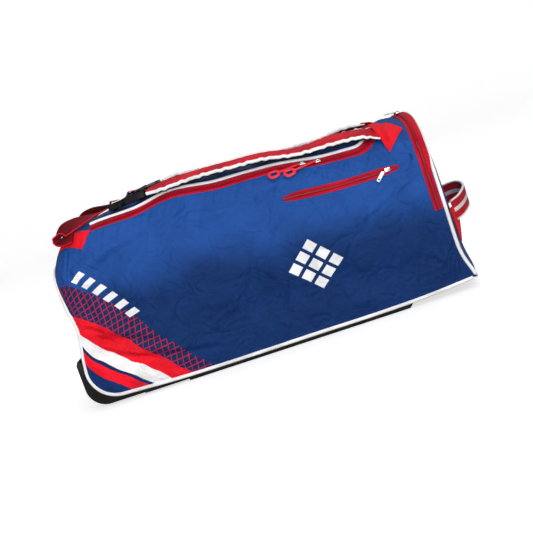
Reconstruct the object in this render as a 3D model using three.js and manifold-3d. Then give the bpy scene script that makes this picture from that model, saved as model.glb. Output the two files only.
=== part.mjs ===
// A wheeled duffel bag: a cloth wrap lofted through its cross-sections, closed by two end panels and a
// base, with a zipped lid, padded carrying straps, a grab handle at the pull end, and a pair of wheels
// in moulded corner housings at the other end. X runs along the bag, -Y is the front, Z is up.
import * as THREE from "three";
import { mergeVertices } from "three/addons/utils/BufferGeometryUtils.js";
import Module from "manifold-3d";

const wasm = await Module();
wasm.setup();

// Driving dimensions, in millimetres
const HALF_LENGTH = 415;
const CORNER_RADIUS = 66;
const WALL = 2;
const GAP = 0.4;
const LID_HALF = 150;
const SIDE_DEPTH = 370;
const LID_START = -300;
const LID_TURN = { x: 272, radius: 45 };
const TAPE_HALF = { lid: 11, end: 9, pocket: 9.5 };
const TAPE_THICK = 1.4;
const COIL = { half: 2.8, topHalf: 1.8, height: 2.4 };
const PIPING_RADIUS = 4.5;
const LID_PIPING_RADIUS = 4;
const SEAM_INSET = PIPING_RADIUS + 0.9;
const SEWN_LOW = 1.2;
const POCKET_LOW = 0.5;
const PATCH_THICK = 2;
const STRAP = {
  padHalf: 23,
  padThick: 8,
  binding: 4.6,
  bindingProud: 0.4,
  lining: 1.8,
  liningReach: 3,
  tailHalf: 19,
  tailThick: 2.6,
};
const HANDLE = { half: 19, thick: 4, binding: 3, bindingUnder: 0.2, bindingOver: 0.6 };
const WHEEL = {
  x: -352,
  y: 128,
  radius: 37,
  half: 12.5,
  shoulder: 3,
  flank: 4,
  rim: 1,
  hub: 24,
  dish: 3,
  bore: 4.4,
  axle: 4,
  axleInset: 1,
};
const HOUSING = {
  out: -430,
  top: 112,
  topCut: 8,
  lip: 4,
  foot: 4,
  bend: 44,
  mouth: 42,
  step: 3,
  cheek: 10,
  slot: 28,
  well: 2.6,
  wellFoot: 9,
  wheelGap: 3.5,
  toe: -262,
};
const RAIL = { y: 150, half: 12, start: -208, end: 284, slope: 14 };

// Places along the cloth are x and q: q is the distance over the wrap from the ridge, less than 0 in front.
const EDGE = LID_HALF + SIDE_DEPTH;
const CORNER_X = CORNER_RADIUS - HALF_LENGTH;
const TAPE_EDGE = TAPE_HALF.lid + GAP;
const LID_PIPING_AT = TAPE_EDGE + LID_PIPING_RADIUS;
const LID_EDGE = LID_PIPING_AT + LID_PIPING_RADIUS + GAP;

// One row for each cross-section: half widths at the base seam, belly and lid zip, and the heights
const SECTIONS = [
  { x: -415, seamHalf: 160, bellyHalf: 164, bellyZ: 197, zipHalf: 118, zipZ: 298, crownZ: 317 },
  { x: -396, seamHalf: 164, bellyHalf: 170, bellyZ: 207, zipHalf: 130, zipZ: 326, crownZ: 345 },
  { x: -366, seamHalf: 167, bellyHalf: 174, bellyZ: 216, zipHalf: 139, zipZ: 352, crownZ: 364 },
  { x: -328, seamHalf: 169, bellyHalf: 177, bellyZ: 222, zipHalf: 143, zipZ: 367, crownZ: 374 },
  { x: -290, seamHalf: 169, bellyHalf: 178, bellyZ: 225, zipHalf: 145, zipZ: 374, crownZ: 379 },
  { x: -206, seamHalf: 170, bellyHalf: 180, bellyZ: 225, zipHalf: 147, zipZ: 375, crownZ: 383 },
  { x: -124, seamHalf: 170, bellyHalf: 182, bellyZ: 226, zipHalf: 147, zipZ: 386, crownZ: 395 },
  { x: -16, seamHalf: 170, bellyHalf: 183, bellyZ: 222, zipHalf: 148, zipZ: 372, crownZ: 393 },
  { x: 97, seamHalf: 170, bellyHalf: 183, bellyZ: 217, zipHalf: 148, zipZ: 368, crownZ: 387 },
  { x: 217, seamHalf: 170, bellyHalf: 181, bellyZ: 211, zipHalf: 148, zipZ: 350, crownZ: 380 },
  { x: 300, seamHalf: 169, bellyHalf: 178, bellyZ: 205, zipHalf: 147, zipZ: 345, crownZ: 382 },
  { x: 370, seamHalf: 168, bellyHalf: 175, bellyZ: 198, zipHalf: 145, zipZ: 343, crownZ: 386 },
  { x: 415, seamHalf: 166, bellyHalf: 171, bellyZ: 191, zipHalf: 141, zipZ: 340, crownZ: 382 },
];

// The base seam's height, from the foot of the wheel-end corner to the pull end
const BASE_LINE = [
  { x: CORNER_X, z: 20 },
  { x: -220, z: 14.5 },
  { x: 75, z: 13.5 },
  { x: 300, z: 15 },
  { x: HALF_LENGTH, z: 23 },
];

// Where the ends lean: the pinch above the wheels and the flared foot of the pull end
const LEANS = [
  { x: -HALF_LENGTH, z: 183, reachX: 150, reachZ: 66, shift: 18 },
  { x: HALF_LENGTH, z: 15, reachX: 130, reachZ: 48, shift: 20 },
];

// The main folds and dents: where each lies, its turn from the X axis, its reach and its height
const FOLDS = [
  { x: -290, q: -240, angle: 24, length: 85, width: 34, height: -6 },
  { x: -372, q: -330, angle: -38, length: 60, width: 30, height: 5 },
  { x: -170, q: -215, angle: 12, length: 80, width: 34, height: -4 },
  { x: 60, q: -215, angle: 80, length: 50, width: 34, height: -5 },
  { x: 20, q: -430, angle: 4, length: 150, width: 36, height: -6 },
  { x: 250, q: -440, angle: -6, length: 120, width: 34, height: -6 },
  { x: -100, q: 330, angle: 10, length: 160, width: 40, height: -7 },
  { x: 180, q: 300, angle: -14, length: 150, width: 36, height: -7 },
  { x: -20, q: 20, angle: 8, length: 130, width: 45, height: -6 },
  { x: 150, q: -30, angle: -20, length: 90, width: 35, height: -5 },
];

// The carrying straps, from the buckle to the pull-end patch: the middle's rise above the skin, and a twist
const FRONT_STRAP = [
  { x: -157.6, q: -121.5, rise: 14, twist: -16 },
  { x: -118, q: -125, rise: 13, twist: -10 },
  { x: -45, q: -126, rise: 24, twist: -10 },
  { x: 20, q: -126, rise: 25, twist: -12 },
  { x: 87, q: -125, rise: 23, twist: -12 },
  { x: 158, q: -124, rise: 17, twist: -14 },
  { x: 234, q: -122, rise: 26, twist: -12 },
  { x: 292, q: -117, rise: 17, twist: -4 },
  { x: 335.2, q: -114, rise: 8.4, twist: 0 },
];
const BACK_STRAP = [
  { x: -156, q: 122, rise: 15, twist: 16 },
  { x: -132, q: 125, rise: 17, twist: 8 },
  { x: -70, q: 148, rise: 18, twist: 0 },
  { x: 0, q: 170, rise: 27, twist: 0 },
  { x: 70, q: 177, rise: 28, twist: 0 },
  { x: 140, q: 169, rise: 27, twist: 0 },
  { x: 215, q: 146, rise: 18, twist: 0 },
  { x: 285, q: 122, rise: 17, twist: 0 },
  { x: 334, q: 114, rise: 8.6, twist: 0 },
];

// The straps' tails, from the wheel-end patch, round a slack bend, to the buckle
const FRONT_TAIL = [
  { x: -338, q: -147, rise: 7, twist: 0 },
  { x: -354, q: -142, rise: 8.5, twist: 4 },
  { x: -362, q: -134, rise: 13, twist: 10 },
  { x: -352, q: -126, rise: 16, twist: 20 },
  { x: -331, q: -121, rise: 14, twist: 18 },
  { x: -304, q: -120, rise: 10, twist: 8 },
  { x: -274, q: -120, rise: 9, twist: -10 },
  { x: -252.8, q: -121, rise: 13.6, twist: -16 },
];
const BACK_TAIL = FRONT_TAIL.map((row) => ({ ...row, q: -row.q, twist: -row.twist }));
const BUCKLE = {
  x: -206,
  q: 121,
  rise: 15.5,
  tilt: -16,
  length: 86,
  half: 26,
  thick: 14,
  edge: 5,
  slot: 5,
  bar: 5,
  tongue: 34,
  narrower: 3,
};

// Corners of the stitched patches, going round
const WHEEL_END_PATCH = [
  { x: -382, q: -141 },
  { x: -327, q: -186 },
  { x: -300, q: -157 },
  { x: -347, q: -132 },
];
const PULL_END_PATCH = [
  { x: 333, q: -96 },
  { x: 341, q: -176 },
  { x: 384, q: -124 },
  { x: 360, q: -76 },
];

// The grab handle across the pull end, from its front anchor to its back one
const HANDLE_ROUTE = [
  { y: -130, z: 164, stand: 0 },
  { y: -112, z: 168, stand: 16 },
  { y: -62, z: 176, stand: 36 },
  { y: 0, z: 178, stand: 42 },
  { y: 62, z: 176, stand: 36 },
  { y: 112, z: 168, stand: 16 },
  { y: 130, z: 164, stand: 0 },
];
const HANDLE_PATCH = [
  { y: -140, z: 98 },
  { y: -116, z: 98 },
  { y: -108, z: 174 },
  { y: -152, z: 174 },
];

// Finishes
const finish = (color, roughness, metalness = 0) =>
  new THREE.MeshStandardMaterial({ color, roughness, metalness });
const BLUE = finish(0x1d4a9c, 0.72);
const NAVY = finish(0x16305f, 0.8);
const RED = finish(0xd3132b, 0.75);
const DARK_RED = finish(0x6d0c1c, 0.7);
const WHITE = finish(0xeceded, 0.6);
const BLACK = finish(0x17181a, 0.55);
const RUBBER = finish(0x101010, 0.9);
const SILVER = finish(0xc9ccd0, 0.3, 1);

const bag = new THREE.Group();

function piece(name, geometry, material) {
  const mesh = new THREE.Mesh(geometry, material);
  mesh.name = name;
  bag.add(mesh);
  return mesh;
}

// Smooth values between the rows of a table, by its column x
function smoothTable(table) {
  const columns = Object.keys(table[0]).filter((name) => name !== "x");
  const values = table.flatMap((row) => columns.map((name) => row[name]));
  const curve = new THREE.CubicInterpolant(table.map((row) => row.x), values, columns.length);
  return (x) => {
    const found = curve.evaluate(x);
    return Object.fromEntries(columns.map((name, i) => [name, found[i]]));
  };
}

const sectionSizes = smoothTable(SECTIONS);
const baseLine = smoothTable(BASE_LINE);

function baseHeight(x) {
  const intoCorner = CORNER_X - x;
  if (intoCorner <= 0) {
    return baseLine(x).z;
  }
  return BASE_LINE[0].z + CORNER_RADIUS - Math.sqrt(Math.max(0, CORNER_RADIUS ** 2 - intoCorner ** 2));
}

function leanAt(x, z) {
  return LEANS.reduce((sum, row) => {
    const along = (x - row.x) / row.reachX;
    const up = (z - row.z) / row.reachZ;
    return sum + row.shift * Math.exp(-(along ** 2) - up ** 2);
  }, 0);
}

function foldAt(x, q) {
  return FOLDS.reduce((sum, fold) => {
    const turn = THREE.MathUtils.degToRad(fold.angle);
    const run = (x - fold.x) * Math.cos(turn) + (q - fold.q) * Math.sin(turn);
    const across = (q - fold.q) * Math.cos(turn) - (x - fold.x) * Math.sin(turn);
    return sum + fold.height * Math.exp(-((run / fold.length) ** 2) - (across / fold.width) ** 2);
  }, 0);
}

// The cross-section at x, as a curve from the front base seam over the ridge to the back one
const CURVE_SPANS = 6;
const SAMPLES_PER_SPAN = 15;
const sectionCache = new Map();

function sectionAt(x) {
  const key = x.toFixed(2);
  if (!sectionCache.has(key)) {
    const size = sectionSizes(x);
    const side = [
      [size.seamHalf, baseHeight(x)],
      [size.bellyHalf, size.bellyZ],
      [size.zipHalf, size.zipZ],
    ];
    const curve = new THREE.CatmullRomCurve3([
      ...side.map(([y, z]) => new THREE.Vector3(0, -y, z)),
      new THREE.Vector3(0, 0, size.crownZ),
      ...side.toReversed().map(([y, z]) => new THREE.Vector3(0, y, z)),
    ]);
    curve.arcLengthDivisions = CURVE_SPANS * SAMPLES_PER_SPAN;
    const lengths = curve.getLengths();
    const zipShare = lengths[2 * SAMPLES_PER_SPAN] / lengths.at(-1);
    sectionCache.set(key, { curve, zipShare });
  }
  return sectionCache.get(key);
}

function wrapPoint(x, q) {
  const { curve, zipShare } = sectionAt(x);
  const reach = Math.abs(q);
  const lidShare = 0.5 - zipShare;
  const onLid = (lidShare * reach) / LID_HALF;
  const onSide = lidShare + (zipShare * (reach - LID_HALF)) / SIDE_DEPTH;
  const share = reach <= LID_HALF ? onLid : onSide;
  const point = curve.getPointAt(THREE.MathUtils.clamp(0.5 + Math.sign(q) * share, 0, 1));
  point.x = x + leanAt(x, point.z);
  return point;
}

// The skin's outward direction, and the point that stands off it by a height
const NUDGE = 0.5;

function skinClimb(x, q) {
  const above = wrapPoint(x, Math.min(q + NUDGE, EDGE));
  const below = wrapPoint(x, Math.max(q - NUDGE, -EDGE));
  return above.sub(below).normalize();
}

function skinNormal(x, q) {
  const run = wrapPoint(x + NUDGE, q).sub(wrapPoint(x - NUDGE, q));
  return run.cross(skinClimb(x, q)).normalize();
}

function skin(x, q, height = 0) {
  return wrapPoint(x, q).addScaledVector(skinNormal(x, q), height + foldAt(x, q));
}

// Geometry helpers
function closedMesh(points, index) {
  const geometry = new THREE.BufferGeometry().setFromPoints(points);
  geometry.setIndex(index);
  geometry.computeVertexNormals();
  return geometry;
}

// A closed solid between two faces of one grid; outer and inner give the points at fractions u and v
function panel(columns, rows, outer, inner) {
  const points = [];
  for (const face of [outer, inner]) {
    for (let i = 0; i <= columns; i += 1) {
      for (let j = 0; j <= rows; j += 1) {
        points.push(face(i / columns, j / rows));
      }
    }
  }
  const layer = (columns + 1) * (rows + 1);
  const at = (i, j) => i * (rows + 1) + j;
  const under = (i, j) => layer + at(i, j);
  const index = [];
  const quad = (a, b, c, d) => index.push(a, b, c, a, c, d);
  for (let i = 0; i < columns; i += 1) {
    for (let j = 0; j < rows; j += 1) {
      quad(at(i, j), at(i + 1, j), at(i + 1, j + 1), at(i, j + 1));
      quad(under(i, j), under(i, j + 1), under(i + 1, j + 1), under(i + 1, j));
    }
    quad(at(i, 0), under(i, 0), under(i + 1, 0), at(i + 1, 0));
    quad(at(i, rows), at(i + 1, rows), under(i + 1, rows), under(i, rows));
  }
  for (let j = 0; j < rows; j += 1) {
    quad(at(0, j), at(0, j + 1), under(0, j + 1), under(0, j));
    quad(at(columns, j), under(columns, j), under(columns, j + 1), at(columns, j + 1));
  }
  return closedMesh(points, index);
}

// A cloth panel that lies in the skin, or stands off it; place gives x and q
function cloth(columns, rows, place, top = 0, bottom = -WALL) {
  const face = (height) => (u, v) => {
    const { x, q } = place(u, v);
    return skin(x, q, height);
  };
  return panel(columns, rows, face(top), face(bottom));
}

// A closed solid through rings of equal counts, capped unless it closes on itself. Each half of a ring
// is split along its own diagonal, so that layers that lie on each other stay clear where they twist.
function loft(rings, closed = false) {
  const count = rings[0].length;
  const index = [];
  const spans = closed ? rings.length : rings.length - 1;
  for (let i = 0; i < spans; i += 1) {
    const here = i * count;
    const next = ((i + 1) % rings.length) * count;
    for (let k = 0; k < count; k += 1) {
      const turn = (k + 1) % count;
      if (k < count / 2) {
        index.push(here + k, here + turn, next + turn, here + k, next + turn, next + k);
      } else {
        index.push(here + k, here + turn, next + k, here + turn, next + turn, next + k);
      }
    }
  }
  if (!closed) {
    const last = (rings.length - 1) * count;
    for (let k = 1; k < count - 1; k += 1) {
      index.push(0, k + 1, k, last, last + k, last + k + 1);
    }
  }
  return closedMesh(rings.flat(), index);
}

function bar(left, right, low, high) {
  return [
    [left, low],
    [right, low],
    [right, high],
    [left, high],
  ];
}

function disc(radius, sides, sideways = 0) {
  return Array.from({ length: sides }, (_, k) => {
    const turn = (2 * Math.PI * k) / sides;
    return [sideways + radius * Math.cos(turn), radius * Math.sin(turn)];
  });
}

// A trim that follows places on the skin; its section is measured sideways, to the left, and outwards
function trim(path, section) {
  const last = path.length - 1;
  const rings = path.map((place, i) => {
    const before = path[Math.max(i - 1, 0)];
    const after = path[Math.min(i + 1, last)];
    const length = Math.hypot(after.x - before.x, after.q - before.q);
    const leftX = (before.q - after.q) / length;
    const leftQ = (after.x - before.x) / length;
    return section(i / last).map(([s, h]) => skin(place.x + leftX * s, place.q + leftQ * s, h));
  });
  return loft(rings);
}

// A round bead along points; side is any direction across its start
function bead(points, radius, sides, side, closed = false) {
  const count = points.length;
  let across = side.clone();
  const rings = points.map((point, i) => {
    const before = closed ? points[(i + count - 1) % count] : points[Math.max(i - 1, 0)];
    const after = closed ? points[(i + 1) % count] : points[Math.min(i + 1, count - 1)];
    const run = after.clone().sub(before).normalize();
    across = across.clone().addScaledVector(run, -across.dot(run)).normalize();
    const up = run.clone().cross(across);
    return disc(radius, sides).map(([s, h]) =>
      point.clone().addScaledVector(across, s).addScaledVector(up, h),
    );
  });
  return loft(rings, closed);
}

// Frames along a route through free points, each with the direction across the webbing
function frames(points, acrosses, steps) {
  const middle = new THREE.CatmullRomCurve3(points);
  const sideways = new THREE.CatmullRomCurve3(acrosses);
  return Array.from({ length: steps + 1 }, (_, i) => {
    const t = i / steps;
    const run = middle.getTangent(t);
    const across = sideways.getPoint(t);
    across.addScaledVector(run, -across.dot(run)).normalize();
    return { at: middle.getPoint(t), across, up: run.clone().cross(across) };
  });
}

function skinFrames(route, steps) {
  const points = route.map((row) => skin(row.x, row.q, row.rise));
  const acrosses = route.map((row) => {
    const turn = THREE.MathUtils.degToRad(row.twist);
    return skinClimb(row.x, row.q).applyAxisAngle(new THREE.Vector3(1, 0, 0), turn);
  });
  return frames(points, acrosses, steps);
}

function sweep(route, section) {
  const rings = route.map((frame) =>
    section.map(([s, h]) => {
      return frame.at.clone().addScaledVector(frame.across, s).addScaledVector(frame.up, h);
    }),
  );
  return loft(rings);
}

// Solids for cuts and joins
function asSolid(geometry) {
  const bare = geometry.clone();
  bare.deleteAttribute("normal");
  bare.deleteAttribute("uv");
  const merged = mergeVertices(bare, 1e-4);
  return new wasm.Manifold(
    new wasm.Mesh({
      numProp: 3,
      vertProperties: merged.attributes.position.array,
      triVerts: new Uint32Array(merged.index.array),
    }),
  );
}

function asGeometry(solid) {
  const mesh = solid.getMesh();
  const geometry = new THREE.BufferGeometry();
  geometry.setAttribute("position", new THREE.BufferAttribute(new Float32Array(mesh.vertProperties), 3));
  geometry.setIndex(new THREE.BufferAttribute(new Uint32Array(mesh.triVerts), 1));
  geometry.computeVertexNormals();
  return geometry;
}

// A side outline in x and z, made solid between two values of y
function slab(shape, yLow, yHigh, curveSegments = 8) {
  const geometry = new THREE.ExtrudeGeometry(shape, {
    depth: yHigh - yLow,
    bevelEnabled: false,
    curveSegments,
  });
  return geometry.rotateX(Math.PI / 2).translate(0, yHigh, 0);
}

function outline(points) {
  return new THREE.Shape(points.map(([x, z]) => new THREE.Vector2(x, z)));
}

const mix = THREE.MathUtils.lerp;
const spread = (count, from, to) => Array.from({ length: count + 1 }, (_, i) => mix(from, to, i / count));

// How many facets the large panels have
const FACETS = { corner: 4, wrap: 21, frontRows: 8, backRows: 7, endColumns: 20, endRows: 4, base: 10 };

// The wrap's columns: a few round the wheel-end corner, then even ones to the pull end
const cornerColumns = spread(FACETS.corner, 0, 90).map((turn) => {
  return CORNER_X - (CORNER_RADIUS - SEAM_INSET) * Math.cos(THREE.MathUtils.degToRad(turn));
});
const wrapColumns = [
  ...cornerColumns,
  ...spread(FACETS.wrap, CORNER_X, HALF_LENGTH - SEAM_INSET).slice(1),
];

// How far up the cloth a side panel stops, to stay clear of the piping on the base seam and its corner
function seamReach(x) {
  const { curve, zipShare } = sectionAt(x);
  const intoCorner = Math.max(0, CORNER_X - x);
  const outer = Math.sqrt(CORNER_RADIUS ** 2 - intoCorner ** 2);
  const inner = Math.sqrt(Math.max(0, (CORNER_RADIUS - SEAM_INSET) ** 2 - intoCorner ** 2));
  return EDGE - ((outer - inner) * SIDE_DEPTH) / (zipShare * curve.getLength());
}

function sidePanel(side, rows) {
  const columns = wrapColumns.length - 1;
  const top = LID_HALF + TAPE_EDGE + 2 * GAP;
  return cloth(columns, rows, (u, v) => {
    const x = wrapColumns[Math.round(u * columns)];
    const reach = mix(seamReach(x), top, side < 0 ? v : 1 - v);
    return { x, q: side * reach };
  });
}

piece("front_panel", sidePanel(-1, FACETS.frontRows), BLUE);
piece("back_panel", sidePanel(1, FACETS.backRows), BLUE);

// Where the lid zip's turn lies at a distance q from the ridge, moved out or in by an offset
function turnX(q, offset) {
  const radius = LID_TURN.radius + offset;
  const over = Math.abs(q) - (LID_HALF - LID_TURN.radius);
  const reach = over <= 0 ? radius : Math.sqrt(Math.max(0, radius ** 2 - over ** 2));
  return LID_TURN.x + reach;
}

const crowded = (half, v) => -half * Math.cos(Math.PI * v);
const YOKE_HALF = LID_HALF + TAPE_HALF.lid;

piece(
  "top_yoke_wheel_end",
  cloth(6, 8, (u, v) => ({
    x: mix(SEAM_INSET - HALF_LENGTH, LID_START - GAP, u),
    q: mix(-YOKE_HALF, YOKE_HALF, v),
  })),
  BLUE,
);
piece(
  "top_yoke_pull_end",
  cloth(4, 14, (u, v) => {
    const q = crowded(YOKE_HALF, v);
    return { x: mix(turnX(q, TAPE_EDGE + 3 * GAP), HALF_LENGTH - SEAM_INSET, u), q };
  }),
  BLUE,
);
piece(
  "lid_panel",
  cloth(12, 10, (u, v) => {
    const q = crowded(LID_HALF - LID_EDGE, v);
    return { x: mix(LID_START, turnX(q, -LID_EDGE), u), q };
  }),
  BLUE,
);

// End panels: a bulged patch between a straight foot and the arch of the section
const WHEEL_END = {
  side: -1,
  foot: BASE_LINE[0].z + CORNER_RADIUS + GAP,
  bulge: 7,
  footInset: SEAM_INSET,
};
const PULL_END = {
  side: 1,
  foot: BASE_LINE.at(-1).z + SEAM_INSET,
  bulge: 20,
  footInset: 2 * SEAM_INSET,
};
const ARCH_FOOT = 45;
const END_ROUNDING = 0.7;

function endPoint({ side, foot, bulge }, y, z, offset) {
  const x = side * HALF_LENGTH;
  const { bellyHalf, crownZ } = sectionSizes(x);
  const across = 1 - THREE.MathUtils.clamp(Math.abs(y) / bellyHalf, 0, 1) ** 4;
  const climb = THREE.MathUtils.clamp((z - foot) / (crownZ - foot), 0, 1);
  const up = Math.max(0, Math.sin(Math.PI * Math.sqrt(climb))) ** END_ROUNDING;
  return new THREE.Vector3(x + leanAt(x, z) + side * (offset + bulge * across * up), y, z);
}

// A point of the end's arch, moved in from the seam within the end's own plane
function archPoint(x, q) {
  const climb = skinClimb(x, q);
  const out = new THREE.Vector3(0, -climb.z, climb.y).normalize();
  return wrapPoint(x, q).addScaledVector(out, -SEAM_INSET - WALL / 2);
}

function endPanel(end) {
  const x = end.side * HALF_LENGTH;
  const halfFoot = sectionSizes(x).seamHalf - end.footInset;
  const archReach = EDGE - ARCH_FOOT;
  const face = (offset) => (u, v) => {
    const across = end.side * (2 * u - 1);
    const bottom = new THREE.Vector3(x, across * halfFoot, end.foot);
    const { y, z } = bottom.lerp(archPoint(x, across * archReach), v);
    return endPoint(end, y, z, offset);
  };
  return panel(FACETS.endColumns, FACETS.endRows, face(WALL / 2), face(-WALL / 2));
}

piece("wheel_end_panel", endPanel(WHEEL_END), NAVY);
piece("pull_end_panel", endPanel(PULL_END), BLUE);

// The base: it starts below the wheel-end panel, turns the corner and runs to the pull end
const cornerStart = { x: -HALF_LENGTH, z: BASE_LINE[0].z + CORNER_RADIUS - GAP };
const baseRun = [
  cornerStart,
  ...spread(5, 15, 90).map((turn) => {
    const angle = THREE.MathUtils.degToRad(turn);
    return {
      x: CORNER_X - CORNER_RADIUS * Math.cos(angle),
      z: BASE_LINE[0].z + CORNER_RADIUS - CORNER_RADIUS * Math.sin(angle),
    };
  }),
  ...spread(FACETS.base, CORNER_X, HALF_LENGTH - SEAM_INSET)
    .slice(1)
    .map((x) => ({ x, z: baseHeight(x) })),
];

// The height of the base's straight stretches at x
function baseChord(x) {
  const after = baseRun.findIndex((point) => point.x >= x);
  const [p, q] = [baseRun[after - 1], baseRun[after]];
  return mix(p.z, q.z, (x - p.x) / (q.x - p.x));
}

function basePoint(u, v, offset) {
  const last = baseRun.length - 1;
  const i = Math.round(u * last);
  const here = baseRun[i];
  const before = baseRun[Math.max(i - 1, 0)];
  const after = baseRun[Math.min(i + 1, last)];
  const down = new THREE.Vector2(after.z - before.z, before.x - after.x).normalize();
  const half = sectionSizes(here.x).seamHalf - SEAM_INSET;
  const z = here.z + down.y * offset;
  const x = here.x + down.x * offset + leanAt(here.x, z);
  return new THREE.Vector3(x, mix(half, -half, v), z);
}

const wholeBase = panel(
  baseRun.length - 1,
  4,
  (u, v) => basePoint(u, v, WALL / 2),
  (u, v) => basePoint(u, v, -WALL / 2),
);

// Wheel housings: a guard that wraps the corner, with a well for the wheel that reaches into the bag
const AXLE_Z = WHEEL.radius;

function wellShape(radius, foot) {
  const shape = new THREE.Shape();
  shape.moveTo(WHEEL.x - radius, foot);
  shape.lineTo(WHEEL.x + radius, foot);
  shape.lineTo(WHEEL.x + radius, AXLE_Z);
  shape.absarc(WHEEL.x, AXLE_Z, radius, 0, Math.PI, false);
  return shape;
}

function guardShape() {
  const inner = CORNER_RADIUS + WALL / 2 + GAP;
  const centreZ = BASE_LINE[0].z + CORNER_RADIUS;
  const toeZ = baseHeight(HOUSING.toe) - WALL / 2 - GAP;
  const { out, top, topCut, lip, foot, bend, mouth, step, toe } = HOUSING;
  const shape = new THREE.Shape();
  shape.moveTo(toe, toeZ);
  shape.lineTo(CORNER_X, centreZ - inner);
  shape.absarc(CORNER_X, centreZ, inner, -Math.PI / 2, -Math.PI, true);
  shape.lineTo(CORNER_X - inner - lip, top);
  shape.lineTo(out + lip, top);
  shape.lineTo(out, top - topCut);
  shape.lineTo(out, foot + bend);
  shape.absarc(out + bend, foot + bend, bend, Math.PI, (3 * Math.PI) / 2, false);
  shape.lineTo(WHEEL.x + mouth, foot);
  shape.lineTo(WHEEL.x + mouth + step, foot + step);
  shape.lineTo(toe - step, foot + step);
  return shape;
}

const wellRadius = WHEEL.radius + HOUSING.wheelGap;
const PIN_SIDES = 12;
const WHEEL_SIDES = 20;
let baseSolid = asSolid(wholeBase);

for (const [place, side] of [["front", -1], ["back", 1]]) {
  const y = side * WHEEL.y;
  const slotHalf = HOUSING.slot / 2;
  const outerHalf = slotHalf + HOUSING.cheek;
  const wellHalf = slotHalf + HOUSING.well;
  const guard = asSolid(slab(guardShape(), y - outerHalf, y + outerHalf));
  const roofShape = wellShape(wellRadius + HOUSING.well, HOUSING.wellFoot);
  const wellRoof = asSolid(slab(roofShape, y - wellHalf, y + wellHalf));
  const wellRoom = asSolid(slab(wellShape(wellRadius, -HOUSING.foot), y - slotHalf, y + slotHalf));
  const boreRod = new THREE.CylinderGeometry(WHEEL.bore, WHEEL.bore, 3 * outerHalf, PIN_SIDES);
  const bore = asSolid(boreRod.translate(WHEEL.x, y, AXLE_Z));
  const housing = guard.add(wellRoof).subtract(wellRoom).subtract(bore);
  piece(`wheel_housing_${place}`, asGeometry(housing), BLACK);

  const clear = wellRadius + HOUSING.well + GAP;
  const clearHalf = wellHalf + GAP;
  const hole = asSolid(slab(wellShape(clear, -HOUSING.foot), y - clearHalf, y + clearHalf));
  baseSolid = baseSolid.subtract(hole);

  const axleLength = 2 * (outerHalf - WHEEL.axleInset);
  const axle = new THREE.CylinderGeometry(WHEEL.axle, WHEEL.axle, axleLength, PIN_SIDES);
  piece(`wheel_axle_${place}`, axle.translate(WHEEL.x, y, AXLE_Z), SILVER);

  const { half, hub, radius, shoulder, flank, rim, dish } = WHEEL;
  const tyreProfile = [
    [hub, rim - half],
    [radius - shoulder, -half],
    [radius, flank - half],
    [radius, half - flank],
    [radius - shoulder, half],
    [hub, half - rim],
    [hub, rim - half],
  ];
  const hubOut = hub - GAP;
  const hubProfile = [
    [WHEEL.bore, -half],
    [hub / 2, -half],
    [hubOut, dish - half],
    [hubOut, half - dish],
    [hub / 2, half],
    [WHEEL.bore, half],
    [WHEEL.bore, -half],
  ];
  const turned = (profile) => {
    const points = profile.map(([r, h]) => new THREE.Vector2(r, h));
    return new THREE.LatheGeometry(points, WHEEL_SIDES).translate(WHEEL.x, y, AXLE_Z);
  };
  piece(`wheel_tyre_${place}`, turned(tyreProfile), RUBBER);
  piece(`wheel_hub_${place}`, turned(hubProfile), BLACK);

  const railEnd = RAIL.end + RAIL.slope;
  const between = baseRun.map(({ x }) => x).filter((x) => x > RAIL.start && x < railEnd);
  const railTop = [RAIL.start, ...between, railEnd].map((x) => [x, baseChord(x) - WALL / 2 - 2 * GAP]);
  const rail = outline([[RAIL.start, 0], [RAIL.end, 0], ...railTop.toReversed()]);
  const railY = side * RAIL.y;
  piece(`skid_rail_${place}`, slab(rail, railY - RAIL.half, railY + RAIL.half), BLACK);
}

piece("base_panel", asGeometry(baseSolid), NAVY);

// Piping: one run from the front foot of the pull end, round the wheel end, to the back, and a ring
const PIPING_SIDES = 5;
const RING_CORNER = 8;
const baseEdge = (x, side) => wrapPoint(x, side * EDGE);
const BASE_STOP = HALF_LENGTH - 2 * PIPING_RADIUS - GAP;
const cornerEdge = (side) =>
  spread(5, 90, 15).map((turn) => {
    return baseEdge(CORNER_X - CORNER_RADIUS * Math.cos(THREE.MathUtils.degToRad(turn)), side);
  });
const seamRun = (side) => {
  const straight = spread(16, BASE_STOP, CORNER_X).slice(0, -1);
  return [...straight.map((x) => baseEdge(x, side)), ...cornerEdge(side)];
};
const archRun = spread(28, -EDGE, EDGE).map((q) => skin(-HALF_LENGTH, q, -WALL / 2));
const alongX = new THREE.Vector3(1, 0, 0);
const alongY = new THREE.Vector3(0, 1, 0);
const bodyRun = [...seamRun(-1), ...archRun, ...seamRun(1).toReversed()];
piece("body_piping", bead(bodyRun, PIPING_RADIUS, PIPING_SIDES, alongY), WHITE);

const ringReach = EDGE - RING_CORNER;
const ringHalf = sectionSizes(HALF_LENGTH).seamHalf - RING_CORNER;
const ringArch = spread(26, -ringReach, ringReach).map((q) => skin(HALF_LENGTH, q, -WALL / 2));
const ringFoot = spread(4, ringHalf, -ringHalf).map((y) => {
  const z = BASE_LINE.at(-1).z;
  return new THREE.Vector3(HALF_LENGTH + leanAt(HALF_LENGTH, z), y, z);
});
const ringRun = [...ringArch, ...ringFoot];
piece("pull_end_piping", bead(ringRun, PIPING_RADIUS, PIPING_SIDES, alongX, true), WHITE);

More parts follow.
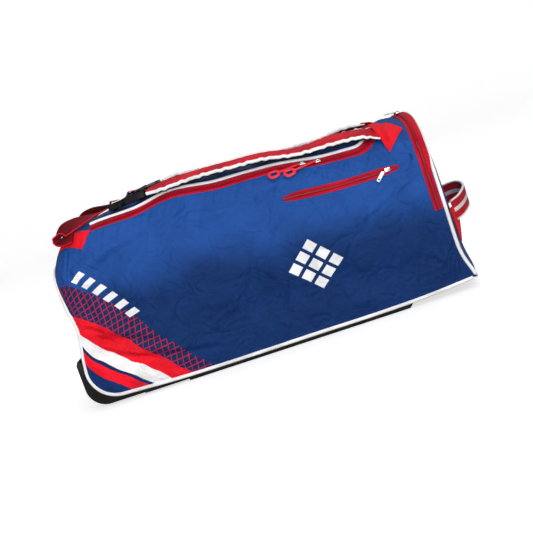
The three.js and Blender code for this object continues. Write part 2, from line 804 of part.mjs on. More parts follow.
// The lid zip: along the front, round the pull end and back, with piping inside it
const turnArc = (side) =>
  spread(5, 0, 90).map((turn) => {
    const angle = THREE.MathUtils.degToRad(turn);
    return {
      x: LID_TURN.x + LID_TURN.radius * Math.sin(angle),
      q: side * (LID_HALF - LID_TURN.radius + LID_TURN.radius * Math.cos(angle)),
    };
  });
const leg = (side) =>
  spread(13, LID_START, LID_TURN.x)
    .slice(0, -1)
    .map((x) => ({ x, q: side * LID_HALF }));
const crossingHalf = LID_HALF - LID_TURN.radius;
const crossing = spread(8, -crossingHalf, crossingHalf)
  .slice(1, -1)
  .map((q) => ({ x: LID_TURN.x + LID_TURN.radius, q }));
const frontLid = [...leg(-1), ...turnArc(-1)];
const backLid = [...leg(1), ...turnArc(1)];
const lidPath = [...frontLid, ...crossing, ...backLid.toReversed()];

const coilSection = (low) => [
  [-COIL.half, low],
  [COIL.half, low],
  [COIL.topHalf, low + COIL.height],
  [-COIL.topHalf, low + COIL.height],
];
piece("lid_zip_tape", trim(lidPath, () => bar(-TAPE_HALF.lid, TAPE_HALF.lid, -WALL, 0)), RED);
piece("lid_zip_coil", trim(lidPath, () => coilSection(GAP)), DARK_RED);
const lidBead = disc(LID_PIPING_RADIUS, PIPING_SIDES, LID_PIPING_AT);
piece("lid_piping", trim(lidPath, () => lidBead), WHITE);

// The end zip, sewn on beside the pull-end piping, and the slanted pocket zip on the front
const END_ZIP = { x: 400.5, dip: 8, dipReach: 70, reach: 338 };
const endPath = spread(36, -END_ZIP.reach, END_ZIP.reach).map((q) => ({
  x: END_ZIP.x - END_ZIP.dip * Math.exp(-((q / END_ZIP.dipReach) ** 2)),
  q,
}));
const sewnTop = SEWN_LOW + TAPE_THICK;
// Over the top, the tape's outer edge is wider and lies over the piping
const END_FLAP = { wider: 7, lift: 3.1, narrow: 260, full: 190 };
const flapAt = (t) => {
  const q = Math.abs(mix(-END_ZIP.reach, END_ZIP.reach, t));
  return 1 - THREE.MathUtils.smoothstep(q, END_FLAP.full, END_FLAP.narrow);
};
const endTapeSection = (t) => {
  const flap = flapAt(t);
  const outer = -TAPE_HALF.end - END_FLAP.wider * flap;
  const lift = END_FLAP.lift * flap;
  return [
    [outer, SEWN_LOW + lift],
    [TAPE_HALF.end, SEWN_LOW],
    [TAPE_HALF.end, sewnTop],
    [outer, sewnTop + lift],
  ];
};
const endCoilLow = (t) => {
  const flap = flapAt(t);
  const slope = (END_FLAP.lift * flap) / (2 * TAPE_HALF.end + END_FLAP.wider * flap);
  return sewnTop + GAP + slope * (TAPE_HALF.end + COIL.half);
};
const sewnCoil = endCoilLow(0.5);
piece("end_zip_tape", trim(endPath, endTapeSection), RED);
piece("end_zip_coil", trim(endPath, (t) => coilSection(endCoilLow(t))), DARK_RED);

const POCKET_ZIP = { x0: 104, x1: 349, q0: -222, q1: -214, sag: 2, tipShare: 0.45, taper: 1 / 6 };
const pocketPath = spread(12, 0, 1).map((t) => ({
  x: mix(POCKET_ZIP.x0, POCKET_ZIP.x1, t),
  q: mix(POCKET_ZIP.q0, POCKET_ZIP.q1, t) + POCKET_ZIP.sag * Math.sin(Math.PI * t),
}));
const lens = (t) => {
  const full = Math.min(1, Math.min(t, 1 - t) / POCKET_ZIP.taper);
  return TAPE_HALF.pocket * mix(POCKET_ZIP.tipShare, 1, full);
};
const pocketTop = POCKET_LOW + TAPE_THICK;
const pocketCoil = pocketTop + GAP;
piece("pocket_zip_tape", trim(pocketPath, (t) => bar(-lens(t), lens(t), POCKET_LOW, pocketTop)), RED);
piece("pocket_zip_coil", trim(pocketPath, () => coilSection(pocketCoil)), DARK_RED);

// Sliders and pulls, seated on the skin with their length turned from the X axis
function seat(mesh, x, q, rise, turn = 0) {
  const up = skinNormal(x, q);
  const climb = skinClimb(x, q);
  const run = climb.clone().cross(up);
  mesh.quaternion.setFromRotationMatrix(new THREE.Matrix4().makeBasis(run, climb, up));
  mesh.rotateZ(THREE.MathUtils.degToRad(turn));
  mesh.position.copy(skin(x, q, rise));
  return mesh;
}

const SLIDER = { length: 13, wide: 9, height: 4.5, corner: 2.5 };
const TAB = { length: 24, wide: 8, thick: 1.6, corner: 3, hole: 2.4, holeInset: 5, lift: 1 };
const LOOP = { length: 27, wide: 21, band: 5, thick: 2.6, corner: 8, innerCorner: 4, lift: 0.6 };
const LOOP_NECK = { length: 44, half: 2, end: 1.5 };

function roundedShape(x0, x1, half, corner) {
  const shape = new THREE.Shape();
  shape.moveTo(x0 + corner, -half);
  shape.lineTo(x1 - corner, -half);
  shape.quadraticCurveTo(x1, -half, x1, corner - half);
  shape.lineTo(x1, half - corner);
  shape.quadraticCurveTo(x1, half, x1 - corner, half);
  shape.lineTo(x0 + corner, half);
  shape.quadraticCurveTo(x0, half, x0, half - corner);
  shape.lineTo(x0, corner - half);
  shape.quadraticCurveTo(x0, -half, x0 + corner, -half);
  return shape;
}

function plate(shape, depth) {
  return new THREE.ExtrudeGeometry(shape, { depth, bevelEnabled: false, curveSegments: 2 });
}

function slider(name, { x, q, turn }, rise) {
  const end = SLIDER.length / 2;
  const body = plate(roundedShape(-end, end, SLIDER.wide / 2, SLIDER.corner), SLIDER.height);
  seat(piece(name, body, SILVER), x, q, rise, turn);
}

function metalTab(name, { x, q, turn }, rise) {
  const shape = roundedShape(0, TAB.length, TAB.wide / 2, TAB.corner);
  const hole = new THREE.Path();
  hole.absarc(TAB.length - TAB.holeInset, 0, TAB.hole, 0, 2 * Math.PI, true);
  shape.holes.push(hole);
  seat(piece(name, plate(shape, TAB.thick), SILVER), x, q, rise + TAB.lift, turn);
}

// A moulded loop at the end of a narrow neck that starts at the slider
function loopPull(name, { x, q, turn }, rise) {
  const half = LOOP.wide / 2;
  const near = LOOP_NECK.length;
  const far = near + LOOP.length;
  const shape = roundedShape(near, far, half, LOOP.corner);
  const inside = roundedShape(near + LOOP.band, far - LOOP.band, half - LOOP.band, LOOP.innerCorner);
  shape.holes.push(new THREE.Path(inside.getPoints(3).toReversed()));
  const neck = roundedShape(0, near + LOOP.band / 2, LOOP_NECK.half, LOOP_NECK.end);
  const joined = asSolid(plate(shape, LOOP.thick)).add(asSolid(plate(neck, LOOP.thick)));
  seat(piece(name, asGeometry(joined), RED), x, q, rise + LOOP.lift, turn);
}

const onLidCoil = GAP + COIL.height + GAP;
const onSewnCoil = sewnCoil + COIL.height + GAP;
const onPocketCoil = pocketCoil + COIL.height + GAP;
const overPull = onLidCoil + LOOP.thick + 3 * GAP;
slider("lid_slider_a", { x: 164, q: -150, turn: 0 }, onLidCoil);
slider("lid_slider_b", { x: 196, q: -150, turn: 0 }, onLidCoil);
loopPull("lid_pull_a", { x: 157, q: -152, turn: 192 }, onLidCoil);
loopPull("lid_pull_b", { x: 189, q: -153.5, turn: 192 }, overPull);
slider("pocket_slider", { x: 324, q: -213.2, turn: 2 }, onPocketCoil);
metalTab("pocket_pull", { x: 315.9, q: -214.7, turn: 222 }, onPocketCoil);
slider("end_slider", { x: 393, q: -34, turn: 90 }, onSewnCoil);
metalTab("end_pull", { x: 388, q: -34, turn: 178 }, onSewnCoil);

// Straps: a padded core with bound edges and a plain lining, a buckle and a slack tail
const { padHalf, padThick, tailHalf, tailThick } = STRAP;
const padTop = padThick / 2;
const bindTop = padTop + STRAP.bindingProud;
const bindLeft = padHalf + GAP;
const bindRight = bindLeft + STRAP.binding;
const liningTop = -bindTop - 1.5 * GAP;
const liningHalf = padHalf + STRAP.liningReach;

function buckleShapes() {
  const { half, edge, slot } = BUCKLE;
  const end = BUCKLE.length / 2;
  const split = BUCKLE.tongue - end;
  const socket = roundedShape(split + GAP, end, half, edge);
  const tongue = roundedShape(-end, split, half - BUCKLE.narrower, edge);
  const webSlot = (x) => {
    const path = outline(bar(x, x + slot, -tailHalf - GAP, tailHalf + GAP));
    return new THREE.Path(path.getPoints().toReversed());
  };
  socket.holes.push(webSlot(end - BUCKLE.bar - slot));
  tongue.holes.push(webSlot(BUCKLE.bar - end));
  return { socket, tongue };
}

const straps = [
  { place: "front", side: -1, route: FRONT_STRAP, tail: FRONT_TAIL },
  { place: "back", side: 1, route: BACK_STRAP, tail: BACK_TAIL },
];

for (const { place, side, route, tail } of straps) {
  const path = skinFrames(route, 18);
  const liningBar = bar(-liningHalf, liningHalf, liningTop - STRAP.lining, liningTop);
  const tailBar = bar(-tailHalf, tailHalf, 0, tailThick);
  piece(`strap_pad_${place}`, sweep(path, bar(-padHalf, padHalf, -padTop, padTop)), RED);
  piece(`strap_binding_${place}_a`, sweep(path, bar(bindLeft, bindRight, -bindTop, bindTop)), WHITE);
  piece(`strap_binding_${place}_b`, sweep(path, bar(-bindRight, -bindLeft, -bindTop, bindTop)), WHITE);
  piece(`strap_lining_${place}`, sweep(path, liningBar), BLACK);
  piece(`strap_tail_${place}`, sweep(skinFrames(tail, 20), tailBar), DARK_RED);

  const { socket, tongue } = buckleShapes();
  for (const [name, shape] of [["socket", socket], ["tongue", tongue]]) {
    const block = plate(shape, BUCKLE.thick).translate(0, 0, -BUCKLE.thick / 2);
    const half = piece(`buckle_${name}_${place}`, block, BLACK);
    seat(half, BUCKLE.x, side * BUCKLE.q, BUCKLE.rise);
    half.rotateX(THREE.MathUtils.degToRad(-side * BUCKLE.tilt));
  }

  for (const [end, corners] of [["wheel_end", WHEEL_END_PATCH], ["pull_end", PULL_END_PATCH]]) {
    const [a, b, c, d] = side < 0 ? corners : corners.map(({ x, q }) => ({ x, q: -q }));
    const patchPlace = (u, v) => ({
      x: mix(mix(b.x, c.x, u), mix(a.x, d.x, u), v),
      q: mix(mix(b.q, c.q, u), mix(a.q, d.q, u), v),
    });
    const upward = side < 0 ? patchPlace : (u, v) => patchPlace(u, 1 - v);
    const patch = cloth(4, 5, upward, SEWN_LOW + PATCH_THICK, SEWN_LOW);
    piece(`strap_patch_${end}_${place}`, patch, RED);
  }
}

// The grab handle: bound webbing across the pull end between two stitched anchors
const anchorLow = WALL / 2 + SEWN_LOW + GAP;
const anchorTop = anchorLow + PATCH_THICK;
const handleLow = anchorTop + SEWN_LOW + GAP;
const handlePoints = HANDLE_ROUTE.map(({ y, z, stand }) => endPoint(PULL_END, y, z, handleLow + stand));
const handlePath = frames(handlePoints, HANDLE_ROUTE.map(() => new THREE.Vector3(0, 0, 1)), 16);
const edgeIn = HANDLE.half + GAP;
const edgeOut = edgeIn + HANDLE.binding;
const edgeTop = HANDLE.thick + HANDLE.bindingOver;
const upperEdge = bar(edgeIn, edgeOut, -HANDLE.bindingUnder, edgeTop);
const lowerEdge = bar(-edgeOut, -edgeIn, -HANDLE.bindingUnder, edgeTop);
piece("end_handle", sweep(handlePath, bar(-HANDLE.half, HANDLE.half, 0, HANDLE.thick)), RED);
piece("end_handle_binding_upper", sweep(handlePath, upperEdge), WHITE);
piece("end_handle_binding_lower", sweep(handlePath, lowerEdge), WHITE);
for (const [place, side] of [["front", 1], ["back", -1]]) {
  const [a, b, c, d] = HANDLE_PATCH;
  const face = (offset) => (u, v) => {
    const across = side > 0 ? u : 1 - u;
    const y = side * mix(mix(a.y, b.y, across), mix(d.y, c.y, across), v);
    const z = mix(mix(a.z, b.z, across), mix(d.z, c.z, across), v);
    return endPoint(PULL_END, y, z, offset);
  };
  piece(`end_handle_anchor_${place}`, panel(2, 4, face(anchorTop), face(anchorLow)), RED);
}

const bounds = new THREE.Box3().setFromObject(bag);
const centre = bounds.getCenter(new THREE.Vector3());
bag.position.set(-centre.x, -centre.y, -bounds.min.z);

export default bag;
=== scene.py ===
# %% [markdown]
# # A wheeled duffel bag
# A soft bag is one big skin of cloth, held to shape by its seams. This lesson first works out that skin
# as a function, then cuts every panel, zip, patch and strap to lie on it, as a sewing room does. The
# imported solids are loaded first. They give the bag's size and place, and they never move.

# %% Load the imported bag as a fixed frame
import math

import bpy
import numpy as np
from mathutils import Matrix, Vector


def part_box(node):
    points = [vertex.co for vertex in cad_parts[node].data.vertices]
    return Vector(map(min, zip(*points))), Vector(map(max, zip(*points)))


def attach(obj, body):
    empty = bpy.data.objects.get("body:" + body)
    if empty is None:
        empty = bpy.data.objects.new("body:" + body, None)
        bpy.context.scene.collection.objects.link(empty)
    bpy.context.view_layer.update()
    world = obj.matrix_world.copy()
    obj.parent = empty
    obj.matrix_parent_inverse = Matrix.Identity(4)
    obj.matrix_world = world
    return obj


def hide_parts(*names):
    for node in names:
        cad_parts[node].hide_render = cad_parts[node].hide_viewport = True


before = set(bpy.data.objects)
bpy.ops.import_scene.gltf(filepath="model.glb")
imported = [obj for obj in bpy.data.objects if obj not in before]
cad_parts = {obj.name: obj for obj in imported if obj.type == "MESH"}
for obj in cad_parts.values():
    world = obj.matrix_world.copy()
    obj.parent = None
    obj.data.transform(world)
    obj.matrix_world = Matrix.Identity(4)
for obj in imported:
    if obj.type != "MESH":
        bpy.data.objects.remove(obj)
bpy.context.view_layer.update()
RAIL_START, RAIL_OUTER = -0.208, -0.162
rail_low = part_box("skid_rail_front")[0]
BAG_ORIGIN = np.array((rail_low.x - RAIL_START, rail_low.y - RAIL_OUTER, 0.0))

# %% [markdown]
# ## Camera
# The photograph was taken from a little above the front, from some way off, with the camera rolled, so
# the bag seems to climb to the right. The camera's three axes are worked out and written into its matrix,
# because a roll is hard to give as turns about the world's axes.

# %% Aim the camera
CAMERA = {"azimuth": 3.61, "elevation": 8.51, "distance": 2.40, "roll": 18.99, "lens": 68.75}
CAMERA_TARGET = Vector((0.0085, 0.1077, 0.1406)) + Vector(BAG_ORIGIN)


def aim_camera():
    turn, rise, roll = (math.radians(CAMERA[name]) for name in ("azimuth", "elevation", "roll"))
    back = Vector((math.sin(turn) * math.cos(rise), -math.cos(turn) * math.cos(rise), math.sin(rise)))
    right = Vector((math.cos(turn), math.sin(turn), 0))
    up = back.cross(right)
    rolled_right = right * math.cos(roll) - up * math.sin(roll)
    rolled_up = right * math.sin(roll) + up * math.cos(roll)
    bpy.ops.object.camera_add()
    camera = bpy.context.object
    axes = Matrix((rolled_right, rolled_up, back)).transposed().to_4x4()
    camera.matrix_world = Matrix.Translation(CAMERA_TARGET + back * CAMERA["distance"]) @ axes
    camera.data.lens = CAMERA["lens"]
    bpy.context.scene.camera = camera
    return camera


camera = aim_camera()
print("camera at", [round(value, 3) for value in camera.location])

# %% [markdown]
# ## Floor and light
# A pale floor that curves up behind the bag leaves no horizon line. It starts as a plane: its far edge is
# extruded upwards, and the corner is rounded with a bevel. Large lamps before the bag, to its left and
# right, and one above it give soft shadows. A low lamp in front reaches in under the straps.

# %% Build the floor and the lights
FLOOR_SIZE = 12.0
FLOOR_BEND = 1.6
SKY_STRENGTH = 0.30


def new_piece(name):
    piece = bpy.context.object
    piece.name = name
    piece.data.name = name
    return piece


def make_active(piece):
    bpy.ops.object.select_all(action="DESELECT")
    piece.select_set(True)
    bpy.context.view_layer.objects.active = piece


def make_floor():
    bpy.ops.object.select_all(action="DESELECT")
    bpy.ops.mesh.primitive_plane_add(size=FLOOR_SIZE, location=(0, 0, 0))
    floor = new_piece("floor")
    for edge in floor.data.edges:
        edge.select = all(floor.data.vertices[i].co.y > 0 for i in edge.vertices)
    bpy.ops.object.mode_set(mode="EDIT")
    bpy.ops.mesh.select_mode(type="EDGE")
    bpy.ops.mesh.extrude_region_move(TRANSFORM_OT_translate={"value": (0, 0, FLOOR_SIZE / 2)})
    bpy.ops.object.mode_set(mode="OBJECT")
    for edge in floor.data.edges:
        ends = [floor.data.vertices[i].co for i in edge.vertices]
        edge.select = all(end.y > 0 and end.z < 0.1 for end in ends)
    bpy.ops.object.mode_set(mode="EDIT")
    bpy.ops.mesh.bevel(offset=FLOOR_BEND, segments=24)
    bpy.ops.object.mode_set(mode="OBJECT")
    bpy.ops.object.shade_smooth()
    return floor


# columns: place, what it looks at, size, power
LIGHTS = {
    "key_light": ((0.9, -3.1, 2.0), (0, 0, 0.2), 2.4, 86),
    "fill_light": ((-1.5, -3.2, 0.9), (0, 0, 0.2), 1.8, 38),
    "low_light": ((0.2, -3.0, 0.45), (0, 0, 0.3), 0.9, 26),
    "top_light": ((0.2, 0.6, 3.0), (0, 0, 0.2), 2.0, 26),
}


def make_lights():
    for name, (place, target, size, power) in LIGHTS.items():
        bpy.ops.object.light_add(type="AREA", location=place)
        light = new_piece(name)
        light.data.size = size
        light.data.energy = power
        aim = Vector(target) - Vector(place)
        light.rotation_euler = aim.to_track_quat("-Z", "Y").to_euler()
    world = bpy.context.scene.world or bpy.data.worlds.new("studio")
    bpy.context.scene.world = world
    world.use_nodes = True
    background = world.node_tree.nodes["Background"]
    background.inputs["Color"].default_value = (1, 1, 1, 1)
    background.inputs["Strength"].default_value = SKY_STRENGTH
    bpy.context.scene.view_settings.view_transform = "Standard"


floor = make_floor()
make_lights()
print("floor and", len(LIGHTS), "lights")

# %% [markdown]
# ## The skin
# The bag's shape is a row of cross-sections. Each one is a smooth curve through the base seam, the belly,
# the lid zip and the crown, and the values between two sections are smoothed too. A place on the cloth is
# x, along the bag, and q, the distance over the top from the ridge, less than 0 in front. A lookup table
# of points turns x and q into a place in space, and anything that is sewn on the bag is laid through it.

# %% The sections, the seams and the large folds, in metres
HALF_LENGTH, CORNER_RADIUS = 0.415, 0.066
LID_HALF, SIDE_DEPTH = 0.150, 0.370
EDGE = LID_HALF + SIDE_DEPTH
CORNER_X = CORNER_RADIUS - HALF_LENGTH
LID_START, LID_TURN_X, LID_TURN_RADIUS = -0.300, 0.272, 0.045
WALL = 0.002

# columns: x, half width at the base seam, belly half width, belly height, zip half width, zip height, crown
SECTIONS = (
    (-0.415, 0.160, 0.164, 0.197, 0.118, 0.298, 0.317),
    (-0.396, 0.164, 0.170, 0.207, 0.130, 0.326, 0.345),
    (-0.366, 0.167, 0.174, 0.216, 0.139, 0.352, 0.364),
    (-0.328, 0.169, 0.177, 0.222, 0.143, 0.367, 0.374),
    (-0.290, 0.169, 0.178, 0.225, 0.145, 0.374, 0.379),
    (-0.206, 0.170, 0.180, 0.225, 0.147, 0.375, 0.383),
    (-0.124, 0.170, 0.182, 0.226, 0.147, 0.386, 0.395),
    (-0.016, 0.170, 0.183, 0.222, 0.148, 0.372, 0.393),
    (0.097, 0.170, 0.183, 0.217, 0.148, 0.368, 0.387),
    (0.217, 0.170, 0.181, 0.211, 0.148, 0.350, 0.380),
    (0.300, 0.169, 0.178, 0.205, 0.147, 0.345, 0.382),
    (0.370, 0.168, 0.175, 0.198, 0.145, 0.343, 0.386),
    (0.415, 0.166, 0.171, 0.191, 0.141, 0.340, 0.382),
)
# columns: x, height of the base seam
BASE_LINE = ((CORNER_X, 0.020), (-0.220, 0.0145), (0.075, 0.0135), (0.300, 0.015), (HALF_LENGTH, 0.023))
# columns: x, height, reach along x, reach in height, shift along x
LEANS = ((-HALF_LENGTH, 0.183, 0.150, 0.066, 0.018), (HALF_LENGTH, 0.015, 0.130, 0.048, 0.020))
# columns: x, q, turn in degrees, length, width, height
FOLDS = (
    (-0.290, -0.240, 24, 0.085, 0.034, -0.006),
    (-0.372, -0.330, -38, 0.060, 0.030, 0.005),
    (-0.170, -0.215, 12, 0.080, 0.034, -0.004),
    (0.060, -0.215, 80, 0.050, 0.034, -0.005),
    (0.020, -0.430, 4, 0.150, 0.036, -0.006),
    (0.250, -0.440, -6, 0.120, 0.034, -0.006),
    (-0.100, 0.330, 10, 0.160, 0.040, -0.007),
    (0.180, 0.300, -14, 0.150, 0.036, -0.007),
    (-0.020, 0.020, 8, 0.130, 0.045, -0.006),
    (0.150, -0.030, -20, 0.090, 0.035, -0.005),
)


def smooth_rows(rows, x):
    """Smooth values between the rows of a table, by its first column."""
    rows = np.asarray(rows, float)
    at, values = rows[:, 0], rows[:, 1:]
    x = np.clip(np.asarray(x, float), at[0], at[-1])
    last = len(at) - 1
    right = np.clip(np.searchsorted(at, x, side="right"), 1, last)
    left = right - 1
    before = np.where(left == 0, right, left - 1)
    after = np.where(right == last, left, np.minimum(right + 1, last))
    half = (at[right] - at[left]) / 2
    pull_before = half / (at[left] - at[before])
    pull_after = half / (at[after] - at[right])
    p = (x - at[left]) / (2 * half)
    weights = (
        (before, pull_before * (-(p**3) + 2 * p**2 - p)),
        (left, (1 + pull_before) * p**3 - (1.5 + 2 * pull_before) * p**2 + (pull_before - 0.5) * p + 1),
        (right, -(1 + pull_after) * p**3 + (1.5 + pull_after) * p**2 + 0.5 * p),
        (after, pull_after * (p**3 - p**2)),
    )
    return sum(weight[:, None] * values[index] for index, weight in weights)


def curve_through(points, shares):
    """The smooth curve through a row of points, at shares from 0 to 1 of its stretches."""
    points = np.asarray(points, float)
    first = 2 * points[..., :1, :] - points[..., 1:2, :]
    last = 2 * points[..., -1:, :] - points[..., -2:-1, :]
    row = np.concatenate([first, points, last], axis=-2)
    spans = points.shape[-2] - 1
    span = np.minimum((shares * spans).astype(int), spans - 1)
    w = (shares * spans - span)[:, None]
    a, b, c, d = (row[..., span + k, :] for k in range(4))

    def step(start, end):
        return np.maximum(((end - start) ** 2).sum(-1, keepdims=True) ** 0.25, 1e-6)

    ab, bc, cd = step(a, b), step(b, c), step(c, d)
    leave = ((b - a) / ab - (c - a) / (ab + bc) + (c - b) / bc) * bc
    arrive = ((c - b) / bc - (d - b) / (bc + cd) + (d - c) / cd) * bc
    return b + leave * w + (3 * (c - b) - 2 * leave - arrive) * w**2 + (2 * (b - c) + leave + arrive) * w**3


def base_height(x):
    into_corner = np.clip(CORNER_X - x, 0, CORNER_RADIUS)
    arc = BASE_LINE[0][1] + CORNER_RADIUS - np.sqrt(CORNER_RADIUS**2 - into_corner**2)
    return np.where(into_corner > 0, arc, smooth_rows(BASE_LINE, x)[:, 0])


def lean_at(x, z):
    total = np.zeros(np.broadcast(x, z).shape)
    for row_x, row_z, reach_x, reach_z, shift in LEANS:
        total += shift * np.exp(-(((x - row_x) / reach_x) ** 2) - ((z - row_z) / reach_z) ** 2)
    return total


def fold_at(x, q, folds):
    total = np.zeros(np.broadcast(x, q).shape)
    for row_x, row_q, turn, length, width, height in folds:
        cos, sin = math.cos(math.radians(turn)), math.sin(math.radians(turn))
        run = (x - row_x) * cos + (q - row_q) * sin
        across = (q - row_q) * cos - (x - row_x) * sin
        total += height * np.exp(-((run / length) ** 2) - (across / width) ** 2)
    return total


print(len(SECTIONS), "sections and", len(FOLDS), "folds")

# %% [markdown]
# A numpy table of points is built over many columns and rows, so the skin can be asked for thousands of
# places at once. The wheel-end corner gets columns at even angles, because its edge is an arc.

# %% The lookup table of the skin
CORNER_COLUMNS, STRAIGHT_COLUMNS, SKIN_ROWS = 40, 260, 401
corner_turns = np.radians(np.linspace(0, 90, CORNER_COLUMNS))
SKIN_X = np.concatenate([
    CORNER_X - CORNER_RADIUS * np.cos(corner_turns),
    np.linspace(CORNER_X, HALF_LENGTH, STRAIGHT_COLUMNS)[1:],
])
SKIN_Q = np.linspace(-EDGE, EDGE, SKIN_ROWS)


def bare_skin():
    """The skin's points without folds, one row of points for each column."""
    size = smooth_rows(SECTIONS, SKIN_X)
    side = np.stack([
        np.stack([size[:, 0], base_height(SKIN_X)], -1),
        np.stack([size[:, 1], size[:, 2]], -1),
        np.stack([size[:, 3], size[:, 4]], -1),
    ], 1)
    crown = np.stack([np.zeros(len(SKIN_X)), size[:, 5]], -1)[:, None]
    knots = np.concatenate([side * (-1, 1), crown, side[:, ::-1]], 1)
    per_span = 40
    curve = curve_through(knots, np.linspace(0, 1, 6 * per_span + 1))
    steps = np.linalg.norm(np.diff(curve, axis=1), axis=-1)
    run = np.concatenate([np.zeros((len(SKIN_X), 1)), np.cumsum(steps, 1)], 1)
    run /= run[:, -1:]
    zip_share = run[:, 2 * per_span]
    reach = np.abs(SKIN_Q)
    points = np.empty((len(SKIN_X), SKIN_ROWS, 3))
    for i, x in enumerate(SKIN_X):
        on_lid = (0.5 - zip_share[i]) * reach / LID_HALF
        on_side = 0.5 - zip_share[i] + zip_share[i] * (reach - LID_HALF) / SIDE_DEPTH
        share = 0.5 + np.sign(SKIN_Q) * np.where(reach <= LID_HALF, on_lid, on_side)
        points[i, :, 1] = np.interp(share, run[i], curve[i, :, 0])
        points[i, :, 2] = np.interp(share, run[i], curve[i, :, 1])
        points[i, :, 0] = x + lean_at(x, points[i, :, 2])
    return points + BAG_ORIGIN


def outward(points):
    """The directions that point out of a table of skin points."""
    run = np.gradient(points, axis=0)
    climb = np.gradient(points, axis=1)
    normal = np.cross(run, climb)
    return normal / np.linalg.norm(normal, axis=-1, keepdims=True)


def sample(table, x, q):
    """Smooth values of a table over the skin at places x and q."""
    at = np.interp(x, SKIN_X, np.arange(len(SKIN_X)))
    up = (np.clip(q, -EDGE, EDGE) + EDGE) / (SKIN_Q[1] - SKIN_Q[0])
    i, j = np.minimum(at.astype(int), len(SKIN_X) - 2), np.minimum(up.astype(int), SKIN_ROWS - 2)

    def four(p):
        return (
            (-(p**3) + 2 * p**2 - p) / 2,
            (3 * p**3 - 5 * p**2 + 2) / 2,
            (-3 * p**3 + 4 * p**2 + p) / 2,
            (p**3 - p**2) / 2,
        )

    total = 0
    for di, wi in enumerate(four(at - i)):
        for dj, wj in enumerate(four(up - j)):
            row = np.clip(i + di - 1, 0, len(SKIN_X) - 1)
            column = np.clip(j + dj - 1, 0, SKIN_ROWS - 1)
            total = total + (wi * wj)[..., None] * table[row, column]
    return total


skin_points = bare_skin()
skin_normals = outward(skin_points)
skin_points = skin_points + skin_normals * fold_at(SKIN_X[:, None], SKIN_Q[None], FOLDS)[..., None]


def lay(x, q, height=0.0):
    """The place in space of x and q on the cloth, stood off it by a height."""
    x, q, height = np.broadcast_arrays(np.asarray(x, float), np.asarray(q, float), np.asarray(height, float))
    return sample(skin_points, x, q) + sample(skin_normals, x, q) * height[..., None]


print("skin table", skin_points.shape)

# %% [markdown]
# ## Small creases
# Nylon puckers beside a zip that is shorter than the cloth, and it creases where a patch pulls on it.
# Sums of sine waves along a seam, fading away from it, give the puckers. Each crease that shows well has
# a row of its own.

# %% Puckers and creases on the skin
# columns: x, q, turn in degrees, length, width, height
CREASES = (
    (-0.318, -0.205, -62, 0.022, 0.006, -0.0030),
    (-0.296, -0.196, 8, 0.050, 0.007, -0.0026),
    (-0.285, -0.212, 12, 0.060, 0.008, 0.0024),
    (-0.262, -0.226, 16, 0.070, 0.009, -0.0026),
    (-0.372, -0.215, -70, 0.040, 0.010, -0.0030),
    (-0.352, -0.240, -60, 0.050, 0.014, 0.0030),
    (-0.395, -0.352, -20, 0.060, 0.012, -0.0070),
    (-0.350, -0.372, -26, 0.060, 0.013, 0.0060),
    (-0.318, -0.400, -18, 0.075, 0.010, -0.0060),
    (-0.258, -0.440, -12, 0.080, 0.011, 0.0040),
    (-0.240, -0.462, -10, 0.090, 0.009, -0.0036),
    (-0.120, -0.202, 20, 0.045, 0.007, -0.0022),
    (-0.020, -0.200, -8, 0.060, 0.006, -0.0022),
    (0.020, -0.213, 10, 0.055, 0.007, -0.0020),
    (0.075, -0.225, 84, 0.030, 0.006, -0.0030),
    (0.386, -0.190, 88, 0.045, 0.008, -0.0045),
    (0.372, -0.205, 62, 0.040, 0.009, 0.0026),
    (0.330, -0.275, 24, 0.070, 0.010, -0.0022),
    (0.400, -0.430, -68, 0.060, 0.014, -0.0040),
    (0.376, -0.450, -58, 0.050, 0.012, 0.0030),
    (0.150, -0.305, 6, 0.160, 0.020, 0.0030),
    (-0.080, -0.330, -6, 0.150, 0.022, 0.0028),
    (-0.372, -0.362, -34, 0.030, 0.006, -0.0060),
    (-0.352, -0.395, -38, 0.040, 0.006, -0.0065),
    (-0.318, -0.425, -30, 0.045, 0.007, 0.0060),
    (-0.288, -0.452, -24, 0.050, 0.006, -0.0055),
)
ZIP_PUCKER = {"from": 0.010, "slant": 0.45, "reach": 0.048, "height": 0.0017}
BASE_PUCKER = {"slant": 0.3, "reach": 0.060, "height": 0.0012}
SEAM_REACH = 0.035
# columns: length, start, share
PUCKER_WAVES = ((0.0173, 1.3, 0.50), (0.0271, 4.1, 0.35), (0.0119, 2.2, 0.22))


def pucker(run, distance, reach, height):
    """Short folds along a seam, deepest beside it."""
    wave = sum(share * np.sin(2 * np.pi * run / length + start) for length, start, share in PUCKER_WAVES)
    beside = np.clip(distance / (0.3 * reach), 0, 1)
    return height * wave * beside * np.exp(-((distance / reach) ** 2))


def slow_swell(x, q):
    """Long, low waves of slack cloth."""
    first = np.sin(9.1 * x + 4.0 * np.sin(5.3 * q) + 1.7) * np.sin(13.7 * q + 2.0 * np.sin(6.1 * x))
    second = np.sin(23.0 * x + 3.0 * np.sin(11.0 * q) + 0.4) * np.sin(29.0 * q + 2.5 * np.sin(15.0 * x) + 2.1)
    return 0.0016 * first + 0.0009 * second


def seam_fade(x, q):
    """0 at the sewn edges of the wrap and 1 away from them, so that the cloth meets its piping."""
    from_end = np.minimum(x + HALF_LENGTH, HALF_LENGTH - x)
    from_base = EDGE - np.abs(q)
    return np.clip(from_end / SEAM_REACH, 0, 1) * np.clip(from_base / SEAM_REACH, 0, 1)


